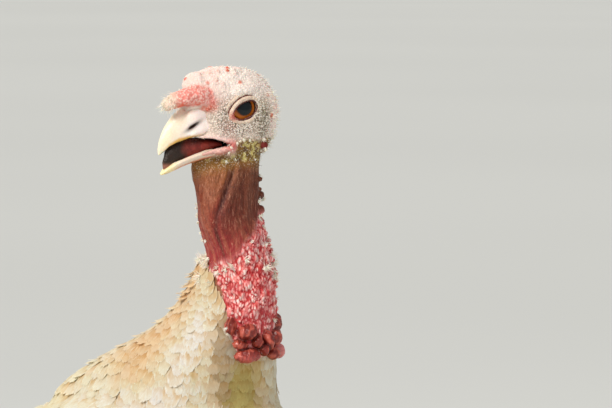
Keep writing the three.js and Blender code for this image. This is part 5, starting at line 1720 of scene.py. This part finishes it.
def wing_coat(side, name, materials, rng):
    """A folded wing's coverts and flight feathers: rows that follow the body's side, and the fan of
    primaries, which is flat and runs back from the wrist."""
    place = iter(np.linspace(0.05, 0.95, 80))

    def vanes(spine, across, up, width, length, tint):
        count = len(spine)
        spots = np.column_stack([[next(place) for _ in range(count)], np.full(count, 0.5)])
        colour = np.tile(GROUND["back"], (count, 1)) * tint * rng.uniform(0.9, 1.04, (count, 1))
        return spine, across * side, up, np.full(count, float(width)), length, colour, spots

    flight = []
    for row, (count, kind, root, tip, width, heights) in WING_ROWS.items():
        share = np.linspace(0, 1, count)[:, None]
        root, tip = (mix(*np.array(ends, float), share) for ends in (root, tip))
        root = root + rng.normal(0, 1.0, root.shape)
        tip = tip + rng.normal(0, 1.6, tip.shape)
        spine, across, up = side_spines(side, root, tip, heights)
        length = np.linalg.norm(spine[:, -1] - spine[:, 0], axis=1)
        batch = vanes(spine, across, up, width, length, 1.0)
        if kind == "flight":
            flight.append(batch)
        else:
            coat_piece(f"{row}_{name}", [batch], 17, materials[kind], rng, kind, 0.14, 0.014, 0.12)
    root = on_side(side, *WRIST)
    line = on_side(side, *WING_TIP) - root
    reach = np.linalg.norm(line)
    line = line / reach
    outward = on_side(side, 150, -5, 10.0) - on_side(side, 150, -5, 0.0)
    outward = unit(outward - line * (outward @ line))
    upward = unit(np.cross(outward, line)) * side
    order = np.arange(PRIMARY_COUNT)
    turn = ((order / 2.2 - 1) * DEG)[:, None]
    length = reach - PRIMARY_STEP * order
    run = length[:, None] * vane_rows(QUILL_ROWS)[None]
    spine = (root + line * (run * np.cos(turn))[..., None]
             + upward * (run * np.sin(turn) + 1.4 * order[:, None])[..., None]
             + outward * (0.42 * order[:, None] + 0 * run)[..., None])
    across = np.broadcast_to(upward, spine.shape) - line * np.sin(turn)[:, None]
    up = np.broadcast_to(outward, spine.shape)
    flight.append(vanes(spine, unit(across) * side, up, 20, length, 0.99))
    coat_piece(f"flight_{name}", flight, 15, materials["flight"], rng, "flight", 0.05, 0.006, 0.35,
               [f"wing_{name}"])


TAIL_TILT = 28 * DEG
TAIL_LINE = np.array([0.0, math.cos(TAIL_TILT), -math.sin(TAIL_TILT)])
TAIL_UP = np.array([0.0, math.sin(TAIL_TILT), math.cos(TAIL_TILT)])
TAIL_ROOT = body_frame(0, 226.0, 65.0)
# Tiers of the tail: count, length, width, spread, aside, height, ahead, step down the stack. The
# first is the quills.
TAIL_TIERS = [
    (18, 286, 40, 1.5, 1.5, 8, 0, 0.92), (13, 124, 19, 2.3, 3.2, 14, -4, 0.5),
    (12, 92, 18, 3.0, 4.2, 17.0, -10, 0.45), (12, 70, 17, 3.3, 4.4, 19.2, -14, 0.42),
    (12, 48, 16, 3.6, 4.8, 21.0, -18, 0.4), (12, 98, 19, 2.4, 3.6, -15, -4, -0.45),
    (11, 66, 18, 3.0, 4.5, -18.5, -12, -0.4),
]


def tail_coat(materials, rng):
    """The closed tail: its quills, and its coverts above and below them in tiers."""
    t = vane_rows(QUILL_ROWS)[None]
    batches = []
    for tier, (count, length, width, spread, aside, height, ahead, step) in enumerate(TAIL_TIERS):
        place = np.arange(count) - (count - 1) / 2
        rank = np.round(2 * np.abs(place) + np.where(place > 0, 0, 0.9))
        size = length - (12 if tier else 30) * (place / place.max()) ** 2
        size = size * (1 - 0.09 * (np.arange(count) % 2) if tier else 1.0)
        turn = (spread * place * DEG + rng.normal(0, 0.3 * DEG, count))[:, None]
        root = TAIL_ROOT + ahead * TAILWARD + np.outer(height - step * rank, TAIL_UP)
        root = root + np.outer(aside * place, LEFT)
        run = size[:, None] * t
        spine = (root[:, None] + TAIL_LINE * (run * np.cos(turn))[..., None]
                 + LEFT * (run * np.sin(turn))[..., None])
        forward = unit(np.gradient(spine, axis=1))
        across = unit(np.cross(forward, np.broadcast_to(TAIL_UP, spine.shape)))
        up = np.cross(across, forward)
        if step < 0:
            across, up = -across, -up
        colour = np.tile(GROUND["back"], (count, 1)) * rng.uniform(0.92, 1.04, (count, 1))
        spots = np.column_stack([0.5 + place / count * 0.9, np.full(count, 0.1 + 0.13 * tier)])
        batches.append((spine, across, up, np.full(count, float(width)), size, colour, spots))
    coat_piece("tail_quills", batches[:1], 13, materials["flight"], rng, "flight", 0.04, 0.006, 0.35,
               ["tail"])
    coat_piece("tail_coverts", batches[1:], 13, materials["covert"], rng, "covert", 0.14, 0.014, 0.1)


def bristles(name, roots, directions, lengths, radius, material, slot, rng):
    """Stiff hair-like feathers: thin tapered spikes that bend over."""
    count, around = len(roots), 4
    share = np.array([0.0, 0.4, 0.75, 1.0])
    rows = len(share)
    droop = np.cross(directions, rng.normal(0, 1, (count, 3)))
    path = (roots[:, None] + directions[:, None] * (lengths[:, None] * share)[..., None]
            + unit(droop)[:, None] * (0.25 * lengths[:, None] * share**2)[..., None])
    size = radius * (1 - 0.88 * share)
    side = unit(np.cross(directions, UP + 0.1))
    other = np.cross(directions, side)
    turn = circle(around)
    ring = (side[:, None, None] * np.cos(turn)[None, None, :, None]
            + other[:, None, None] * np.sin(turn)[None, None, :, None])
    points = path[:, :, None] + ring * size[None, :, None, None]
    grid = np.arange(rows * around).reshape(rows, around)
    each = np.vstack([strips(grid), grid[-1:]])
    faces = (each[None] + (np.arange(count) * rows * around)[:, None, None]).reshape(-1, 4)
    flu = from_head(roots)
    heading = np.arctan2(flu[:, 1], flu[:, 0]) / (2 * math.pi) + 0.5
    spot = np.column_stack([heading, (roots[:, 2] - 420) / 240])
    inside = np.column_stack([np.tile(turn / (2 * math.pi), rows), np.repeat(share, around)]) - 0.5
    flat = np.clip(spot, 0.004, 0.996)[:, None] + inside[None] * PATCH
    add_piece(name, points.reshape(-1, 3), [faces], material, slot, flat=flat.reshape(-1, 2))


BARE_FROM = 430  # height where the bare skin starts


def skin_surface(skin):
    """The bare skin, for bristles to grow from."""
    points, faces = read_mesh(skin.data)
    points = points * 1000 - SHIFT
    bare = points[:, 2] > BARE_FROM
    kept = [f[bare[f].all(1)] for f in faces]
    return Form(points, [f for f in kept if len(f)])


HEAD_TRIES, NECK_TRIES = 26000, 5200  # places tried at random for bristles and for tufts


def grown(name, roots, outs, way, size, radius, material, rng):
    """Bristles of the head, rooted a little below the skin."""
    bristles(name, roots - outs * 0.3, way, size, radius, material, "head_skin", rng)


def head_bristles(surface, rng):
    """Short white bristles on the crown, nape, chin and snood, in tufts down the neck, and dark ones
    about the ear."""
    white = bristle_paint("bristle", (255, 250, 240), (236, 226, 206))
    dark = bristle_paint("bristle_dark", (96, 84, 66), (58, 48, 40))
    places, normals = surface.nearest(surface.sample(HEAD_TRIES, rng))
    flu = from_head(places)
    f, _, u = flu.T
    face = mouth_share(flu) < 0.01
    crown = ease(14, 24, u) * ease(34, 16, f) * 0.5
    nape = ease(-12, -22, f) * ease(-44, -30, u)
    tip = snood_share(places) * ease(43, 49, f) * 2.0
    cheek = 0.22 * hump(f, 2, 20) * hump(u, -16, 12)
    chance = np.clip(np.maximum.reduce([crown, nape, ease(10, 18, u) * 0.25, tip, cheek]), 0, 1)
    picked = (rng.random(len(places)) < np.where(u > -40, chance, 0) * 0.62) & face
    roots, outs = places[picked], normals[picked]
    ahead = from_head(roots)[:, 0]
    lean = np.tile(unit(-HEAD_FORWARD * 0.7 - UP * 0.3), (len(roots), 1))
    on_tip = snood_share(roots) * ease(43, 48, ahead) > 0.4
    lean[on_tip] = unit(HEAD_FORWARD * 0.35 - UP * 1.0)
    way = unit(outs * 0.8 + lean * 0.7 + rng.normal(0, 0.3, roots.shape))
    size = rng.uniform(1.2, 2.6, len(roots)) * mix(1.0, 1.7, ease(-10, -22, ahead))
    size = np.where(on_tip, rng.uniform(3.0, 6.5, len(roots)), size)
    grown("bristles_head", roots, outs, way, size, 0.22, white, rng)
    neck_tufts(surface, white, rng)
    ear = hump(f, -15, 6) * hump(u, -17, 6)
    throat = hump(u, -34, 6) * 0.4
    picked = (rng.random(len(places)) < np.clip(ear + throat, 0, 1) * 0.16) & face
    roots, outs = places[picked], normals[picked]
    way = unit(outs * 0.5 - HEAD_FORWARD * 0.7 - UP * 0.5 + rng.normal(0, 0.25, roots.shape))
    grown("bristles_ear", roots, outs, way, rng.uniform(1.4, 3.2, len(roots)), 0.12, dark, rng)


def neck_tufts(surface, material, rng):
    """Tufts on the edges of the folds, among the caruncles, as a ruff at the nape and on the chin."""
    tufts, ways, sizes = [], [], []
    centres, outs = surface.nearest(surface.sample(NECK_TRIES, rng))
    azimuth = neck_azimuth(centres)
    z = centres[:, 2]
    flu = from_head(centres)
    ahead, _, high = flu.T
    edges = np.maximum.reduce([hump(azimuth, 306, 12), hump(azimuth, 332, 12),
                               0.6 * hump(azimuth, 135, 16)])
    edges = np.clip(edges * ease(486, 500, z) * 1.7, 0, 1)
    ruff = hump(azimuth, 112, 30) * hump(z, 509, 9) * 2.2
    field = field_share(z - 3, azimuth) * ease(452, 468, z) * (0.16 + 0.5 * hump(azimuth, 196, 14))
    chin = hump(high, -29, 5.5) * 0.55 * ease(30, 18, ahead)
    cheek = hump(high, -19.6, 1.8) * ease(9, 5, ahead) * 0.9
    chance = np.maximum.reduce([edges, field, ruff, 1.1 * chin, 0.03 * ease(505, 515, z), 2.0 * cheek])
    chance = chance * (z < 600) * (mouth_share(flu) < 0.01)
    picked = rng.random(len(centres)) < chance * 0.30
    for centre, out in zip(centres[picked], outs[picked]):
        small = centre[2] > 576
        count = rng.integers(8, 15) if small else rng.integers(18, 30)
        tufts.append(centre + rng.normal(0, 0.26 if small else 0.42, (count, 3)))
        ways.append(unit(out + rng.normal(0, 0.5, (count, 3)) - UP * 0.5))
        ruffed = mix(1.0, 2.6, ease(524, 514, centre[2]) * ease(492, 498, centre[2]))
        sizes.append(rng.uniform(0.9, 1.9, count) * rng.uniform(0.8, 1.5) * ruffed)
    bristles("bristles_neck", np.vstack(tufts), np.vstack(ways), np.concatenate(sizes), 0.32, material,
             "neck_skin", rng)


# ---------------------------------------------------------------- studio
CAMERA_AZIMUTH, CAMERA_RISE = 310 * DEG, 4 * DEG
CAMERA_AWAY, SENSOR = 3000.0, 36
VIEW_WIDTH = 404.0
VIEW_RIGHT, VIEW_DOWN = 39.6, 62.0  # from the near eye to the picture's middle


def add_facing(name, data, place, along):
    """A camera or a light at a place, looking along a direction."""
    thing = add_object(name, data)
    thing.location = place
    thing.rotation_euler = Vector(along).to_track_quat("-Z", "Y").to_euler()
    return thing


def set_camera():
    """A long lens far off, placed so that the near eye falls where the photo has it."""
    back = np.array([math.sin(CAMERA_AZIMUTH) * math.cos(CAMERA_RISE),
                     -math.cos(CAMERA_AZIMUTH) * math.cos(CAMERA_RISE), math.sin(CAMERA_RISE)])
    right = unit(np.cross(UP, back))
    middle = in_head((0, EYE_L + EYE_HALVES[1], 0)) + right * VIEW_RIGHT - np.cross(back, right) * VIEW_DOWN
    camera = bpy.data.cameras.new("camera")
    camera.sensor_width = SENSOR
    camera.lens = SENSOR * CAMERA_AWAY / VIEW_WIDTH
    camera.clip_end = 100
    bpy.context.scene.camera = add_facing("camera", camera, metres(middle + back * CAMERA_AWAY), -back)
    return back, right


def studio():
    """Camera, sun, two soft lights, pale surroundings and the floor."""
    back, right = set_camera()
    target = metres(in_head((0, 0, -80)))
    sun = bpy.data.lights.new("key", "SUN")
    sun.energy, sun.angle, sun.color = 3.02, 24 * DEG, (1.0, 0.97, 0.91)
    add_facing("key", sun, target, -(back * 1.55 - right * 1.4 + UP * 1.5))
    for name, away, size, power, colour in (
            ("fill", back * 2.0 + right * 2.2 + UP * 0.4, 2.2, 20, (0.96, 0.98, 1.0)),
            ("rim", -back * 1.6 - right * 0.6 + UP * 1.8, 1.2, 26, (1.0, 0.98, 0.94))):
        light = bpy.data.lights.new(name, "AREA")
        light.shape, light.size, light.energy, light.color = "DISK", size, power, colour
        add_facing(name, light, target + away, -away).visible_glossy = False
    world = bpy.data.worlds.new("studio")
    world.use_nodes = True
    shade = world.node_tree.nodes["Background"]
    shade.inputs[0].default_value = (0.80, 0.81, 0.80, 1)
    shade.inputs[1].default_value = 0.5
    bpy.context.scene.world = world
    bpy.context.scene.view_settings.view_transform = "Standard"
    turn = circle(48)
    rings = [np.column_stack([r * np.cos(turn), r * np.sin(turn), 0 * turn + z])
             for r, z in ((0.6, 0.0), (3.0, 0.0), (80.0, 0.0), (80.0, -0.02), (0.5, -0.02))]
    mesh = make_mesh("floor", *loft(np.array(rings)), smooth=False)
    greys = ((208, 209, 207), (210, 211, 209))
    mesh.materials.append(cloudy_paint("studio_floor", 3.0, 1, (0.3, 0.7), greys, Roughness=0.85))
    floor = add_object("floor", mesh)


# ---------------------------------------------------------------- assembly
def build_coat(form):
    """All the feathers."""
    rng = np.random.default_rng(29)
    buff = (240, 212, 162)
    body_paint = plumage_paint("plumage", buff, (0.2, 2.0, 6.0))
    materials = {
        "covert": plumage_paint("coverts", buff, (0.4, 1.6, 4.6), 0.3),
        "flight": plumage_paint("quills", (242, 218, 184), (0.2, 1.0, 5.5), 0.7),
    }
    regions, batch = body_coat(form, rng)
    for region in sorted(set(regions)):
        chosen = regions == region
        coat_piece(f"coat_{region}", [[field[chosen] for field in batch]], 18, body_paint, rng)
    for side, name in ((1, "left"), (-1, "right")):
        wing_coat(side, name, materials, rng)
    tail_coat(materials, rng)


def main():
    body = fused(body_forms(), BODY_VOXEL, smooth=13)
    skin = build_skin(body)
    horn, eye = horn_paint(), eye_paint()
    upper_beak(horn)
    lower_beak(horn)
    tongue_piece(skin.data.materials[0])
    for side in (1, -1):
        eye_piece(side, eye)
    claws(horn)
    build_coat(Form(*body))
    head_bristles(skin_surface(skin), np.random.default_rng(37))
    studio()


main()
